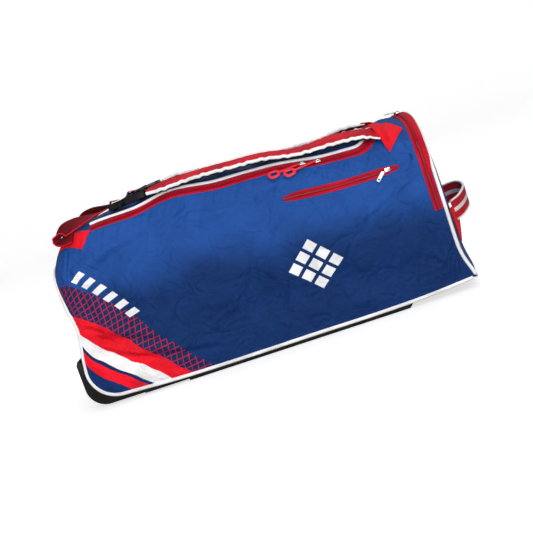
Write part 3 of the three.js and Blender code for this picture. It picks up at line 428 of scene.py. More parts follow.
def small_relief(x, q):
    below_zip = np.abs(q) - LID_HALF
    below_tape = below_zip - ZIP_PUCKER["from"]
    slanted = x + ZIP_PUCKER["slant"] * below_zip
    waves = pucker(slanted, below_tape, ZIP_PUCKER["reach"], ZIP_PUCKER["height"])
    under = np.where(below_zip > ZIP_PUCKER["from"], waves, 0)
    above_base = EDGE - np.abs(q)
    slanted = x - BASE_PUCKER["slant"] * above_base
    over = pucker(slanted, above_base, BASE_PUCKER["reach"], BASE_PUCKER["height"])
    swell = slow_swell(x, q)
    return (under + over + swell + fold_at(x, q, CREASES)) * seam_fade(x, q)


skin_points = skin_points + skin_normals * small_relief(SKIN_X[:, None], SKIN_Q[None])[..., None]
skin_normals = outward(skin_points)
print("creases", len(CREASES))

# %% [markdown]
# ## Letting the cloth settle
# Creases come from cloth that is a little larger than the shape it is sewn to. So the wrap is also cut as
# one coarse sheet, pinned at its seams, zips and patches, and held softly elsewhere as a full bag holds
# it. The cloth solver then lets it grow, and it folds. The moves are read back and added to the skin, so
# that every piece follows.

# %% Run the cloth solver on the wrap
SETTLE = {"columns": 2, "rows": 3, "frames": 22, "growth": 0.016, "soft": 0.06, "most": 0.0065}
HELD = {"near": 0.012, "far": 0.034}
# columns: x and q of one end of a held line, then of the other
HELD_LINES = [
    (-HALF_LENGTH, -EDGE, HALF_LENGTH, -EDGE),
    (-HALF_LENGTH, 0.0, -HALF_LENGTH, -EDGE),
    (HALF_LENGTH, 0.0, HALF_LENGTH, -EDGE),
    (0.3995, 0.0, 0.3995, -0.338),
    (LID_START, -LID_HALF, LID_TURN_X + 0.020, -LID_HALF),
    (LID_START, 0.0, LID_START, -LID_HALF),
    (LID_TURN_X + LID_TURN_RADIUS, 0.0, LID_TURN_X + LID_TURN_RADIUS, -LID_HALF + 0.030),
    (-0.370, -0.165, -0.327, -0.145),
    (0.341, -0.165, 0.371, -0.085),
]
HELD_LINES += [(x0, -q0, x1, -q1) for x0, q0, x1, q1 in HELD_LINES]
HELD_LINES.append((0.104, -0.222, 0.349, -0.214))


def line_distance(x, q, line):
    x0, q0, x1, q1 = line
    run = np.array((x1 - x0, q1 - q0))
    share = np.clip(((x - x0) * run[0] + (q - q0) * run[1]) / (run @ run), 0, 1)
    return np.hypot(x - x0 - share * run[0], q - q0 - share * run[1])


def held_share(x, q):
    """1 where a seam holds the cloth, 0 away from seams."""
    distance = np.min([line_distance(x, q, line) for line in HELD_LINES], axis=0)
    share = np.clip((HELD["far"] - distance) / (HELD["far"] - HELD["near"]), 0, 1)
    return share * share * (3 - 2 * share)


def coarse_sheet(points):
    """A grid of cloth with its points on the skin."""
    wide, deep = points.shape[:2]
    bpy.ops.object.select_all(action="DESELECT")
    bpy.ops.mesh.primitive_grid_add(x_subdivisions=wide - 1, y_subdivisions=deep - 1, size=2)
    sheet = new_piece("settling_wrap")
    flat = np.empty(3 * wide * deep)
    sheet.data.vertices.foreach_get("co", flat)
    flat = flat.reshape(-1, 3)
    i = np.rint((flat[:, 0] + 1) / 2 * (wide - 1)).astype(int)
    j = np.rint((flat[:, 1] + 1) / 2 * (deep - 1)).astype(int)
    sheet.data.vertices.foreach_set("co", points[i, j].ravel())
    sheet.data.update()
    return sheet, i, j


def settle():
    """How far the solver moves each point of the coarse sheet out of the skin."""
    x, q = SKIN_X[:: SETTLE["columns"]], SKIN_Q[:: SETTLE["rows"]]
    points = skin_points[:: SETTLE["columns"], :: SETTLE["rows"]]
    sheet, i, j = coarse_sheet(points)
    held = held_share(x[:, None], q[None])
    pins = sheet.vertex_groups.new(name="pins")
    for index, weight in enumerate(np.maximum(held, SETTLE["soft"])[i, j].tolist()):
        pins.add([index], weight, "REPLACE")
    solver = sheet.modifiers.new("cloth", "CLOTH")
    cloth = solver.settings
    cloth.quality, cloth.mass, cloth.air_damping, cloth.time_scale = 4, 0.15, 2.0, 1.0
    cloth.bending_stiffness, cloth.vertex_group_mass, cloth.pin_stiffness = 0.3, "pins", 1.0
    cloth.shrink_min = -SETTLE["growth"]
    cloth.effector_weights.gravity = 0
    solver.collision_settings.use_collision = False
    scene = bpy.context.scene
    solver.point_cache.frame_end = SETTLE["frames"]
    for number in range(1, SETTLE["frames"] + 1):
        scene.frame_set(number)
    settled = sheet.evaluated_get(bpy.context.evaluated_depsgraph_get()).to_mesh()
    ends = np.empty(3 * len(i))
    settled.vertices.foreach_get("co", ends)
    scene.frame_set(1)
    moved = np.zeros(points.shape[:2])
    normals = skin_normals[:: SETTLE["columns"], :: SETTLE["rows"]]
    moved[i, j] = ((ends.reshape(-1, 3) - points[i, j]) * normals[i, j]).sum(1)
    bpy.data.objects.remove(sheet)
    return x, q, moved * (1 - held)


def softened(table):
    """Each value shared with its neighbours, so that the coarse sheet leaves no facets."""
    for axis in (0, 1):
        before, after = np.roll(table, 1, axis), np.roll(table, -1, axis)
        table = (before + 2 * table + after) / 4
    return table


x, q, moved = settle()
print("settled by", round(1000 * float(np.abs(moved).max()), 2), "mm at most,",
      round(1000 * float(moved.std()), 2), "mm spread")
moved = SETTLE["most"] * np.tanh(moved / SETTLE["most"])
moved = np.stack([np.interp(SKIN_X, x, row) for row in moved.T], 1)
moved = np.stack([np.interp(SKIN_Q, q, row) for row in moved])
moved = softened(softened(moved)) * seam_fade(SKIN_X[:, None], SKIN_Q[None])
skin_points = skin_points + skin_normals * moved[..., None]
skin_normals = outward(skin_points)

# %% [markdown]
# ## Node recipes
# A finish is a list of steps that end in one shader. A small class adds nodes and joins them, so each
# finish reads as a recipe. Effects that several finishes share are node groups, built once.

# %% Nodes made short


class Recipe:
    """Adds nodes to a tree and joins them."""

    def __init__(self, tree):
        self.tree = tree

    def add(self, kind, inputs=None, **settings):
        made = self.tree.nodes.new(kind)
        for name, value in settings.items():
            setattr(made, name, value)
        for key, value in (inputs or {}).items():
            self.feed(made.inputs[key], value)
        return made

    def feed(self, socket, value):
        if isinstance(value, bpy.types.NodeSocket):
            self.tree.links.new(value, socket)
        else:
            socket.default_value = value

    def math(self, operation, first, second=0.0, third=0.0):
        return self.add("ShaderNodeMath", {0: first, 1: second, 2: third}, operation=operation).outputs[0]

    def blend(self, mask, below, above):
        return self.add("ShaderNodeMix", {0: mask, 6: below, 7: above}, data_type="RGBA").outputs[2]

    def noise(self, vector, scale, detail=3.0, distortion=0.0):
        inputs = {"Vector": vector, "Scale": scale, "Detail": detail, "Distortion": distortion}
        return self.add("ShaderNodeTexNoise", inputs).outputs[0]

    def ramp(self, value, low, high, to_low=0.0, to_high=1.0):
        inputs = {0: value, 1: low, 2: high, 3: to_low, 4: to_high}
        return self.add("ShaderNodeMapRange", inputs, interpolation_type="SMOOTHSTEP").outputs[0]

    def bump(self, height, distance, strength=1.0, below=None):
        inputs = {"Height": height, "Distance": distance, "Strength": strength}
        if below is not None:
            inputs["Normal"] = below
        return self.add("ShaderNodeBump", inputs).outputs[0]

    def cloth_place(self):
        return self.add("ShaderNodeUVMap", uv_map="cloth").outputs[0]

    def object_place(self):
        return self.add("ShaderNodeTexCoord").outputs["Object"]


def new_group(name, inputs, outputs):
    group = bpy.data.node_groups.new(name, "ShaderNodeTree")
    for socket, kind, value in inputs:
        made = group.interface.new_socket(socket, in_out="INPUT", socket_type=kind)
        if value is not None:
            made.default_value = value
    for socket in outputs:
        group.interface.new_socket(socket, in_out="OUTPUT", socket_type="NodeSocketFloat")
    recipe = Recipe(group)
    return group, recipe, recipe.add("NodeGroupInput").outputs, recipe.add("NodeGroupOutput").inputs


def weave_group():
    """Threads over and under each other, and the uneven tone of dyed cloth."""
    sockets = (
        ("Place", "NodeSocketVector", None),
        ("Threads", "NodeSocketFloat", 900.0),
        ("Blotch", "NodeSocketFloat", 14.0),
    )
    group, recipe, entry, leave = new_group("weave", sockets, ("Height", "Tone"))
    scaled = recipe.add("ShaderNodeVectorMath", {0: entry["Place"]}, operation="SCALE")
    recipe.feed(scaled.inputs["Scale"], entry["Threads"])
    axes = recipe.add("ShaderNodeSeparateXYZ", {0: scaled.outputs[0]}).outputs
    warp = recipe.math("SINE", recipe.math("MULTIPLY", axes[0], math.tau))
    weft = recipe.math("SINE", recipe.math("MULTIPLY", axes[1], math.tau))
    depth = recipe.math("SINE", recipe.math("MULTIPLY", axes[2], math.tau))
    crossed = recipe.math("MULTIPLY", warp, weft)
    recipe.feed(leave["Height"], recipe.math("MULTIPLY_ADD", depth, 0.15, crossed))
    tone = recipe.noise(entry["Place"], entry["Blotch"], 4.0, 0.6)
    recipe.feed(leave["Tone"], recipe.ramp(tone, 0.3, 0.7))
    return group


def crinkle_group():
    """The fine, sharp wrinkles that thin coated cloth keeps."""
    sockets = (("Place", "NodeSocketVector", None), ("Scale", "NodeSocketFloat", 16.0))
    group, recipe, entry, leave = new_group("crinkle", sockets, ("Height",))
    soft = recipe.noise(entry["Place"], entry["Scale"], 2.0, 1.2)
    ridge = recipe.math("ABSOLUTE", recipe.math("SUBTRACT", soft, 0.5))
    fine = recipe.noise(entry["Place"], recipe.math("MULTIPLY", entry["Scale"], 3.1), 2.0, 0.8)
    fine_ridge = recipe.math("ABSOLUTE", recipe.math("SUBTRACT", fine, 0.5))
    recipe.feed(leave["Height"], recipe.math("MULTIPLY_ADD", fine_ridge, 0.35, ridge))
    return group


def scuff_group():
    """Rubbed patches and a moulded grain on plastic and rubber."""
    sockets = (("Place", "NodeSocketVector", None), ("Grain", "NodeSocketFloat", 900.0))
    group, recipe, entry, leave = new_group("scuff", sockets, ("Height", "Rubbed"))
    recipe.feed(leave["Height"], recipe.noise(entry["Place"], entry["Grain"], 2.0))
    patches = recipe.noise(entry["Place"], 22.0, 5.0, 0.4)
    recipe.feed(leave["Rubbed"], recipe.ramp(patches, 0.5, 0.72))
    return group


WEAVE, CRINKLE, SCUFF = weave_group(), crinkle_group(), scuff_group()
print("groups", [group.name for group in (WEAVE, CRINKLE, SCUFF)])

# %% [markdown]
# ## Cloth finishes
# The bag's cloth is a printed polyester with a soft sheen, and its blue is never quite even. On the front
# the blue is also painted lighter over the upper half, as lit from above, and deeper below as painted
# shade. The webbing and tapes are coarser, so their threads show more.

# %% Colours and cloth finishes
# BLUE_LIGHT is the blue as lit and BLUE_DEEP the blue in shade: the front paints them as light and shade, and
# the other blue cloths mix them as random tone
BLUE_LIGHT, BLUE_DEEP = (0.0135, 0.067, 0.275, 1), (0.0048, 0.028, 0.122, 1)
NAVY, NAVY_DEEP = (0.006, 0.022, 0.085, 1), (0.004, 0.014, 0.055, 1)
RED, RED_DEEP = (0.620, 0.010, 0.026, 1), (0.400, 0.004, 0.014, 1)
PATCH_RED, PATCH_RED_DEEP = (0.800, 0.008, 0.022, 1), (0.600, 0.004, 0.012, 1)
TAPE_RED, TAPE_RED_DEEP = (0.480, 0.005, 0.020, 1), (0.320, 0.003, 0.012, 1)
# the strap tails' webbing: the straps' red darkened as painted shade on the face turned away from the light
SHADED_WEBBING_RED, SHADED_WEBBING_RED_DEEP = (0.170, 0.003, 0.010, 1), (0.095, 0.002, 0.006, 1)
COIL_RED, COIL_RED_DEEP = (0.250, 0.003, 0.012, 1), (0.140, 0.002, 0.007, 1)
WHITE, WHITE_DEEP = (0.840, 0.835, 0.840, 1), (0.640, 0.635, 0.650, 1)
BLACK, BLACK_WORN = (0.003, 0.003, 0.0035, 1), (0.012, 0.012, 0.0125, 1)
STEEL, STEEL_DEEP = (0.560, 0.555, 0.530, 1), (0.200, 0.200, 0.195, 1)


def new_finish(name, roughness, specular=0.4, metallic=0.0, sheen=0.0):
    material = bpy.data.materials.new(name)
    material.use_nodes = True
    shader = material.node_tree.nodes["Principled BSDF"]
    values = {"Roughness": roughness, "Specular IOR Level": specular, "Metallic": metallic}
    values.update({"Sheen Weight": sheen, "Sheen Roughness": 0.4})
    for socket, value in values.items():
        shader.inputs[socket].default_value = value
    return material, Recipe(material.node_tree), shader


def woven(recipe, shader, place, colour, threads, relief, crinkle=0.0, blotch=14.0):
    """Joins a colour and the weave's relief to a shader."""
    weave = recipe.add("ShaderNodeGroup", {}, node_tree=WEAVE)
    for socket, value in (("Place", place), ("Threads", threads), ("Blotch", blotch)):
        recipe.feed(weave.inputs[socket], value)
    normal = recipe.bump(weave.outputs["Height"], relief, 0.6)
    if crinkle:
        creased = recipe.add("ShaderNodeGroup", {}, node_tree=CRINKLE)
        recipe.feed(creased.inputs["Place"], recipe.object_place())
        normal = recipe.bump(creased.outputs["Height"], crinkle, 1.0, normal)
    recipe.feed(shader.inputs["Base Color"], colour(weave.outputs["Tone"]))
    recipe.feed(shader.inputs["Normal"], normal)


def plain_cloth(name, light, deep, threads, relief, crinkle=0.0, roughness=0.7, sheen=0.02, on_cloth=True):
    material, recipe, shader = new_finish(name, roughness, 0.10, sheen=sheen)
    place = recipe.cloth_place() if on_cloth else recipe.object_place()
    woven(recipe, shader, place, lambda tone: recipe.blend(tone, deep, light), threads, relief, crinkle)
    return material


BLUE_MIX = tuple(0.75 * a + 0.25 * b for a, b in zip(BLUE_LIGHT, BLUE_DEEP))
BLUE_DIM = tuple(0.45 * a + 0.55 * b for a, b in zip(BLUE_LIGHT, BLUE_DEEP))
blue_cloth = plain_cloth("blue_cloth", BLUE_MIX, BLUE_DIM, 1400, 0.00012, 0.0035, 0.55)
navy_cloth = plain_cloth("navy_cloth", NAVY, NAVY_DEEP, 1000, 0.00020, 0.0020, 0.65)
red_strap_cloth = plain_cloth("red_strap_cloth", RED, RED_DEEP, 700, 0.00035, 0.0016, 0.6)
patch_cloth = plain_cloth("patch_cloth", PATCH_RED, PATCH_RED_DEEP, 900, 0.00020, 0.0012, 0.5)
painted_shade_webbing = plain_cloth("painted_shade_webbing", SHADED_WEBBING_RED, SHADED_WEBBING_RED_DEEP, 520, 0.00045, 0.0, 0.7)
white_trim = plain_cloth("white_trim", WHITE, WHITE_DEEP, 600, 0.00025, 0.0, 0.55, on_cloth=False)
black_lining = plain_cloth("black_lining", BLACK_WORN, BLACK, 420, 0.00050, 0.0, 0.85, 0.05)
red_thread = plain_cloth("red_thread", RED, RED_DEEP, 2400, 0.00010, 0.0, 0.6, on_cloth=False)
blue_thread = plain_cloth("blue_thread", BLUE_LIGHT, BLUE_DEEP, 2400, 0.00010, 0.0, 0.6, on_cloth=False)
print("cloth finishes", blue_cloth.name, red_strap_cloth.name, white_trim.name)

# %% [markdown]
# ## The printed front
# The front is printed before it is sewn. Slanted bands run from the wheel end down to the base, with a
# plain trellis of thin red lines above them. Each band lies between two straight lines drawn on the flat
# cloth, so a line is a dot product on the cloth's own map of x and q. The marks in white are plain bars
# and lozenges. Light and shade are also painted on the plain blue: it is lighter above a wavy line near
# the belly, as if lit from above, and deeper below it as painted shade.

# %% The print on the front
# each line's two places on the cloth: x and q
BAND_LINES = {
    "trellis_top": ((-0.403, -0.214), (-0.151, -0.515)),
    "red_top": ((-0.399, -0.313), (-0.195, -0.515)),
    "white_top": ((-0.407, -0.367), (-0.241, -0.513)),
    "line_top": ((-0.407, -0.405), (-0.287, -0.510)),
    "low_red_top": ((-0.407, -0.417), (-0.297, -0.511)),
    "low_red_foot": ((-0.411, -0.454), (-0.335, -0.511)),
}
CRUMPLE = 0.014
TRELLIS_PITCH, TRELLIS_LINE = 0.0165, 0.048
BARS = {"start": (-0.361, -0.228), "end": (-0.267, -0.370), "count": 6}
BARS.update({"wide": 0.52, "half": 0.0130, "slant": 0.35})
LOZENGES = {"x": 0.125, "q": -0.372, "pitch": 0.030, "count": 3, "share": 0.74}


def from_line(recipe, place, start, end):
    """The signed distance from a straight line on the cloth, above 0 towards the pull end."""
    run = np.subtract(end, start)
    side = np.array((-run[1], run[0])) / np.linalg.norm(run)
    dot = recipe.add("ShaderNodeVectorMath", {0: place, 1: (*side, 0)}, operation="DOT_PRODUCT")
    return recipe.math("SUBTRACT", dot.outputs["Value"], float(side @ np.asarray(start)))


def inside(recipe, value, half):
    return recipe.math("LESS_THAN", recipe.math("ABSOLUTE", value), half)


def both(recipe, first, second):
    return recipe.math("MULTIPLY", first, second)


def trellis(recipe, along, across):
    """Two families of thin crossing lines."""
    lines = []
    for sign in (1, -1):
        slanted = recipe.math("MULTIPLY_ADD", across, sign * 0.8, along)
        share = recipe.math("FRACT", recipe.math("DIVIDE", slanted, TRELLIS_PITCH))
        lines.append(inside(recipe, recipe.math("SUBTRACT", share, 0.5), TRELLIS_LINE))
    return recipe.math("MAXIMUM", *lines)


def bar_marks(recipe, along, across):
    """A row of plain slanted bars."""
    slanted = recipe.math("MULTIPLY_ADD", across, -BARS["slant"], along)
    length = float(np.hypot(*np.subtract(BARS["end"], BARS["start"])))
    share = recipe.math("FRACT", recipe.math("DIVIDE", slanted, length / BARS["count"]))
    row_half = length / 2
    in_bar = recipe.math("LESS_THAN", share, BARS["wide"])
    in_row = inside(recipe, recipe.math("SUBTRACT", slanted, row_half), row_half)
    return both(recipe, both(recipe, in_bar, in_row), inside(recipe, across, BARS["half"]))


def lozenge_marks(recipe, place):
    """A block of plain lozenges that stands on its corner."""
    mapping = recipe.add("ShaderNodeMapping", {"Vector": place}, vector_type="TEXTURE")
    mapping.inputs["Location"].default_value = (LOZENGES["x"], LOZENGES["q"], 0)
    mapping.inputs["Rotation"].default_value = (0, 0, math.radians(45))
    axes = recipe.add("ShaderNodeSeparateXYZ", {0: mapping.outputs[0]}).outputs
    reach = LOZENGES["count"] * LOZENGES["pitch"] / 2
    masks = []
    for axis in (axes[0], axes[1]):
        cell = recipe.math("FRACT", recipe.math("DIVIDE", recipe.math("ADD", axis, reach), LOZENGES["pitch"]))
        masks.append(inside(recipe, recipe.math("SUBTRACT", cell, 0.5), LOZENGES["share"] / 2))
        masks.append(inside(recipe, axis, reach))
    return both(recipe, both(recipe, masks[0], masks[1]), both(recipe, masks[2], masks[3]))


def printed_front_and_painted_shade():
    material, recipe, shader = new_finish("printed_front_and_painted_shade", 0.55, 0.08, sheen=0.0)
    place = recipe.cloth_place()
    wander = recipe.math("SUBTRACT", recipe.noise(place, 15.0, 2.0, 0.5), 0.5)
    lines = {}
    for name, (start, end) in BAND_LINES.items():
        straight = from_line(recipe, place, start, end)
        lines[name] = recipe.math("MULTIPLY_ADD", wander, CRUMPLE, straight)
    above = {name: recipe.math("GREATER_THAN", value, 0.0) for name, value in lines.items()}
    below = {name: recipe.math("SUBTRACT", 1.0, value) for name, value in above.items()}

    start = np.array(BAND_LINES["red_top"][0])
    run = np.subtract(BAND_LINES["red_top"][1], start)
    along = recipe.math("MULTIPLY", from_line(recipe, place, start, start + (-run[1], run[0])), -1.0)
    bar_start = np.array(BARS["start"])
    bar_run = np.subtract(BARS["end"], bar_start)
    bar_across = from_line(recipe, place, bar_start, bar_start + bar_run)
    bar_side = bar_start + (-bar_run[1], bar_run[0])
    bar_along = recipe.math("MULTIPLY", from_line(recipe, place, bar_start, bar_side), -1.0)

    def colour(tone):
        axes = recipe.add("ShaderNodeSeparateXYZ", {0: place}).outputs
        wander = recipe.noise(place, 6.0, 2.0, 0.5)
        level = recipe.math("MULTIPLY_ADD", wander, 0.10, axes[1])
        level = recipe.math("MULTIPLY_ADD", axes[0], 0.04, level)
        # painted light and shade: the upper front gets the lit blue and the lower front the shaded blue,
        # split at a wavy line near the belly
        upper = recipe.ramp(level, -0.300, -0.205)
        deep = recipe.blend(tone, tuple(0.82 * c for c in BLUE_DEEP), BLUE_DEEP)
        light = recipe.blend(tone, BLUE_MIX, BLUE_LIGHT)
        made = recipe.blend(upper, deep, light)
        red = recipe.blend(tone, tuple(0.75 * c for c in PATCH_RED), PATCH_RED)
        white = recipe.blend(tone, WHITE_DEEP, WHITE)
        in_trellis = both(recipe, below["trellis_top"], above["red_top"])
        made = recipe.blend(in_trellis, made, NAVY)
        lattice = trellis(recipe, along, lines["red_top"])
        made = recipe.blend(both(recipe, in_trellis, lattice), made, tuple(0.7 * c for c in PATCH_RED))
        made = recipe.blend(both(recipe, below["red_top"], above["white_top"]), made, red)
        made = recipe.blend(both(recipe, below["white_top"], above["line_top"]), made, white)
        made = recipe.blend(both(recipe, below["line_top"], above["low_red_top"]), made, NAVY)
        made = recipe.blend(both(recipe, below["low_red_top"], above["low_red_foot"]), made, red)
        made = recipe.blend(bar_marks(recipe, bar_along, bar_across), made, white)
        return recipe.blend(lozenge_marks(recipe, place), made, white)

    woven(recipe, shader, place, colour, 1400, 0.00012, 0.0125)
    return material


front_print_and_painted_shade = printed_front_and_painted_shade()
print("front print with", len(BAND_LINES), "lines")

# %% [markdown]
# ## Zips, webbing and hard finishes
# A zip tape is darker in the middle, where the coil is sewn on. The black plastic is of two kinds:
# polished on the buckles, and grained and rubbed on the running gear. Plastic, rubber and metal share one
# recipe: rubbed patches with a colour and a roughness of their own, over a fine grain.

# %% Tape, webbing, plastic and metal
TAPE_CORE, HANDLE_STRIPE = 0.0036, 0.0042
BLACK_RUBBED, BLACK_DULL = (0.006, 0.006, 0.007, 1), (0.005, 0.005, 0.005, 1)
RUBBER, RUBBER_WORN = (0.015, 0.015, 0.015, 1), (0.050, 0.048, 0.045, 1)
HUB_GREY, HUB_WORN = (0.100, 0.100, 0.105, 1), (0.160, 0.160, 0.165, 1)
RED_RUBBED = (0.700, 0.020, 0.040, 1)
FLOOR_GLOW = 0.70
FLOOR_TONES = ((0.80, 0.80, 0.80, 1), (0.84, 0.84, 0.84, 1))


def banded_cloth(name, edge, edge_deep, core, core_deep, half, threads, relief):
    """Cloth with a band of another colour along its middle."""
    material, recipe, shader = new_finish(name, 0.6, 0.12, sheen=0.02)
    place = recipe.cloth_place()
    across = recipe.add("ShaderNodeSeparateXYZ", {0: place}).outputs[1]
    away = recipe.math("ABSOLUTE", across)
    band = recipe.math("SUBTRACT", 1.0, recipe.ramp(away, 0.88 * half, 1.12 * half))

    def colour(tone):
        return recipe.blend(band, recipe.blend(tone, edge_deep, edge), recipe.blend(tone, core_deep, core))

    woven(recipe, shader, place, colour, threads, relief)
    return material


def hard_finish(name, clean, rubbed, roughness, rough_rubbed, grain, relief, metallic=0.0, specular=0.5):
    material, recipe, shader = new_finish(name, roughness, specular, metallic)
    place = recipe.object_place()
    scuff = recipe.add("ShaderNodeGroup", {}, node_tree=SCUFF)
    recipe.feed(scuff.inputs["Place"], place)
    recipe.feed(scuff.inputs["Grain"], grain)
    mask = scuff.outputs["Rubbed"]
    recipe.feed(shader.inputs["Base Color"], recipe.blend(mask, clean, rubbed))
    worn = recipe.math("MULTIPLY_ADD", mask, rough_rubbed - roughness, roughness)
    recipe.feed(shader.inputs["Roughness"], worn)
    recipe.feed(shader.inputs["Normal"], recipe.bump(scuff.outputs["Height"], relief, 0.5))
    return material


zip_tape = banded_cloth("zip_tape", TAPE_RED, TAPE_RED_DEEP, COIL_RED, COIL_RED_DEEP, TAPE_CORE, 900, 0.00025)
handle_webbing = banded_cloth("handle_webbing", RED, RED_DEEP, WHITE, WHITE_DEEP, HANDLE_STRIPE, 600, 0.0004)
coil_plastic = hard_finish("coil_plastic", COIL_RED, TAPE_RED_DEEP, 0.5, 0.6, 1500, 0.0001, specular=0.2)
black_gloss = hard_finish("black_gloss", BLACK, BLACK_RUBBED, 0.20, 0.30, 600, 0.00004, specular=0.05)
black_matte = hard_finish("black_matte", BLACK_DULL, BLACK_WORN, 0.42, 0.55, 1100, 0.0002, specular=0.2)
tyre_rubber = hard_finish("tyre_rubber", RUBBER, RUBBER_WORN, 0.75, 0.9, 700, 0.0003)
hub_plastic = hard_finish("hub_plastic", HUB_GREY, HUB_WORN, 0.4, 0.55, 900, 0.0001)
steel = hard_finish("steel", STEEL, STEEL_DEEP, 0.22, 0.38, 1400, 0.00005, metallic=1.0)
red_plastic = hard_finish("red_plastic", RED, RED_RUBBED, 0.35, 0.5, 900, 0.0001)


def floor_finish():
    """White paper that glows a little for the camera alone, so it stays white and keeps a soft shadow."""
    material, recipe, shader = new_finish("floor_paper", 0.9, 0.1)
    tone = recipe.noise(recipe.object_place(), 3.0, 2)
    recipe.feed(shader.inputs["Base Color"], recipe.blend(tone, *FLOOR_TONES))
    seen = recipe.add("ShaderNodeLightPath", {})
    shader.inputs["Emission Color"].default_value = (1, 1, 1, 1)
    glow = recipe.math("MULTIPLY", seen.outputs["Is Camera Ray"], FLOOR_GLOW)
    recipe.feed(shader.inputs["Emission Strength"], glow)
    return material


floor.data.materials.append(floor_finish())
print("hard finishes", black_gloss.name, steel.name)

# %% [markdown]
# ## Cutting cloth
# Every cloth piece starts as a flat grid, as cloth starts flat on the table. Its points are then moved to
# their places on the skin, the flat place is kept as the piece's own map, and Solidify gives the cloth
# its thickness. Rounded strips start as a grid too: its two long edges are brought together and merged,
# and the ends are filled.

# %% Helpers that cut, thicken and close pieces
CLOTH_THICK = 0.0016


def cut_grid(name, columns, rows):
    """A flat grid, with each point's share along it and across it."""
    bpy.ops.object.select_all(action="DESELECT")
    bpy.ops.mesh.primitive_grid_add(x_subdivisions=columns, y_subdivisions=rows, size=2)
    piece = new_piece(name)
    flat = np.empty(3 * len(piece.data.vertices))
    piece.data.vertices.foreach_get("co", flat)
    flat = flat.reshape(-1, 3)
    return piece, (flat[:, 0] + 1) / 2, (flat[:, 1] + 1) / 2


def set_points(piece, points, cloth):
    """Moves a piece's points, and keeps each one's flat place as the piece's own map."""
    mesh = piece.data
    mesh.vertices.foreach_set("co", np.ascontiguousarray(points, np.float32).ravel())
    layer = mesh.uv_layers[0]
    layer.name = "cloth"
    corners = np.empty(len(mesh.loops), np.int32)
    mesh.loops.foreach_get("vertex_index", corners)
    layer.data.foreach_set("uv", np.stack(cloth, -1)[corners].astype(np.float32).ravel())
    mesh.update()


def apply_modifier(piece, kind, **settings):
    make_active(piece)
    modifier = piece.modifiers.new(kind.lower(), kind)
    for name, value in settings.items():
        setattr(modifier, name, value)
    bpy.ops.object.modifier_apply(modifier=modifier.name)


def smooth(piece, angle=40):
    make_active(piece)
    bpy.ops.object.shade_smooth_by_angle(angle=math.radians(angle))


def edit(piece, *steps):
    """Runs steps of edit mode on the whole of a piece."""
    make_active(piece)
    bpy.ops.object.mode_set(mode="EDIT")
    bpy.ops.mesh.select_all(action="SELECT")
    for step in steps:
        step()
    bpy.ops.object.mode_set(mode="OBJECT")


def merge_points():
    bpy.ops.mesh.remove_doubles(threshold=0.00002)


def close_ends():
    bpy.ops.mesh.fill_holes(sides=0)


def face_out():
    bpy.ops.mesh.select_all(action="SELECT")
    bpy.ops.mesh.normals_make_consistent(inside=False)


def dress(piece, material, slot, *nodes, body="bag"):
    """Gives a piece its finish and its body, and hides the imported solids that it stands for."""
    piece.data.materials.clear()
    piece.data.materials.append(material)
    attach(piece, body)
    if nodes:
        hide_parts(*nodes)
    return piece


def sew_panel(name, columns, rows, place, thick=CLOTH_THICK):
    """A sheet of cloth that lies on the skin where place(u, v) says."""
    piece, u, v = cut_grid(name, columns, rows)
    x, q = place(u, v)
    set_points(piece, lay(x, q), (x, q))
    apply_modifier(piece, "SOLIDIFY", thickness=thick, offset=-1)
    smooth(piece)
    return piece


def wrap_around(name, columns, section, place, run):
    """A closed strip: a section of (sideways, outwards) carried along a run."""
    section = np.asarray(section, float)
    piece, u, v = cut_grid(name, columns, len(section))
    sideways, outwards = section[np.rint(v * len(section)).astype(int) % len(section)].T
    set_points(piece, place(u, sideways, outwards), (u * run, sideways))
    edit(piece, merge_points, close_ends, face_out)
    smooth(piece)
    return piece


def tube(name, points, radius, closed=False, sides=3):
    """A round bead along points."""
    data = bpy.data.curves.new(name, "CURVE")
    data.dimensions = "3D"
    data.bevel_depth, data.bevel_resolution, data.use_fill_caps = radius, sides, True
    line = data.splines.new("POLY")
    line.points.add(len(points) - 1)
    line.points.foreach_set("co", np.c_[points, np.ones(len(points))].ravel())
    line.use_cyclic_u = closed
    piece = bpy.data.objects.new(name, data)
    bpy.context.collection.objects.link(piece)
    make_active(piece)
    bpy.ops.object.convert(target="MESH")
    return new_piece(name)


def mix(start, end, share):
    return start + (end - start) * share


def run_length(points):
    return np.concatenate([[0], np.cumsum(np.linalg.norm(np.diff(points, axis=0), axis=1))])


def even_path(path, step):
    """A path's points again, at even steps along it."""
    run = run_length(path)
    at = np.linspace(0, run[-1], max(int(run[-1] / step), 2) + 1)
    return np.stack([np.interp(at, run, column) for column in path.T], -1)


print("cloth is", 1000 * CLOTH_THICK, "mm thick")

# %% [markdown]
# ## The panels
# The wrap is the front, the back and the top. The lid's zip cuts the top into a lid and two yokes, so the
# yokes' edges follow the zip's round corner. The ends are bulged sheets between a straight foot and the
# arch of the end seam, and the base runs under everything and up round the wheel-end corner.

# %% Sew the wrap
TAPE_HALF = {"lid": 0.011, "end": 0.009, "pocket": 0.0095}
TAPE_UNDER = 0.0015
WRAP_ROWS = 150
LID_GRID, WHEEL_YOKE_GRID, PULL_YOKE_GRID = (220, 100), (40, 120), (36, 140)
SIDE_TOP = LID_HALF + TAPE_HALF["lid"] - TAPE_UNDER
LID_UNDER = TAPE_HALF["lid"] + 0.0005


def by_column(u):
    return np.interp(u, np.linspace(0, 1, len(SKIN_X)), SKIN_X)


def turn_x(q, out):
    """Where the line of the lid zip, moved out by a distance, crosses q at the pull end."""
    into_turn = np.clip(np.abs(q) - (LID_HALF - LID_TURN_RADIUS), 0, None)
    return LID_TURN_X + np.sqrt(np.maximum((LID_TURN_RADIUS + out) ** 2 - into_turn**2, 0))


def crowded(half, v):
    return half * np.sin(math.pi * (v - 0.5))


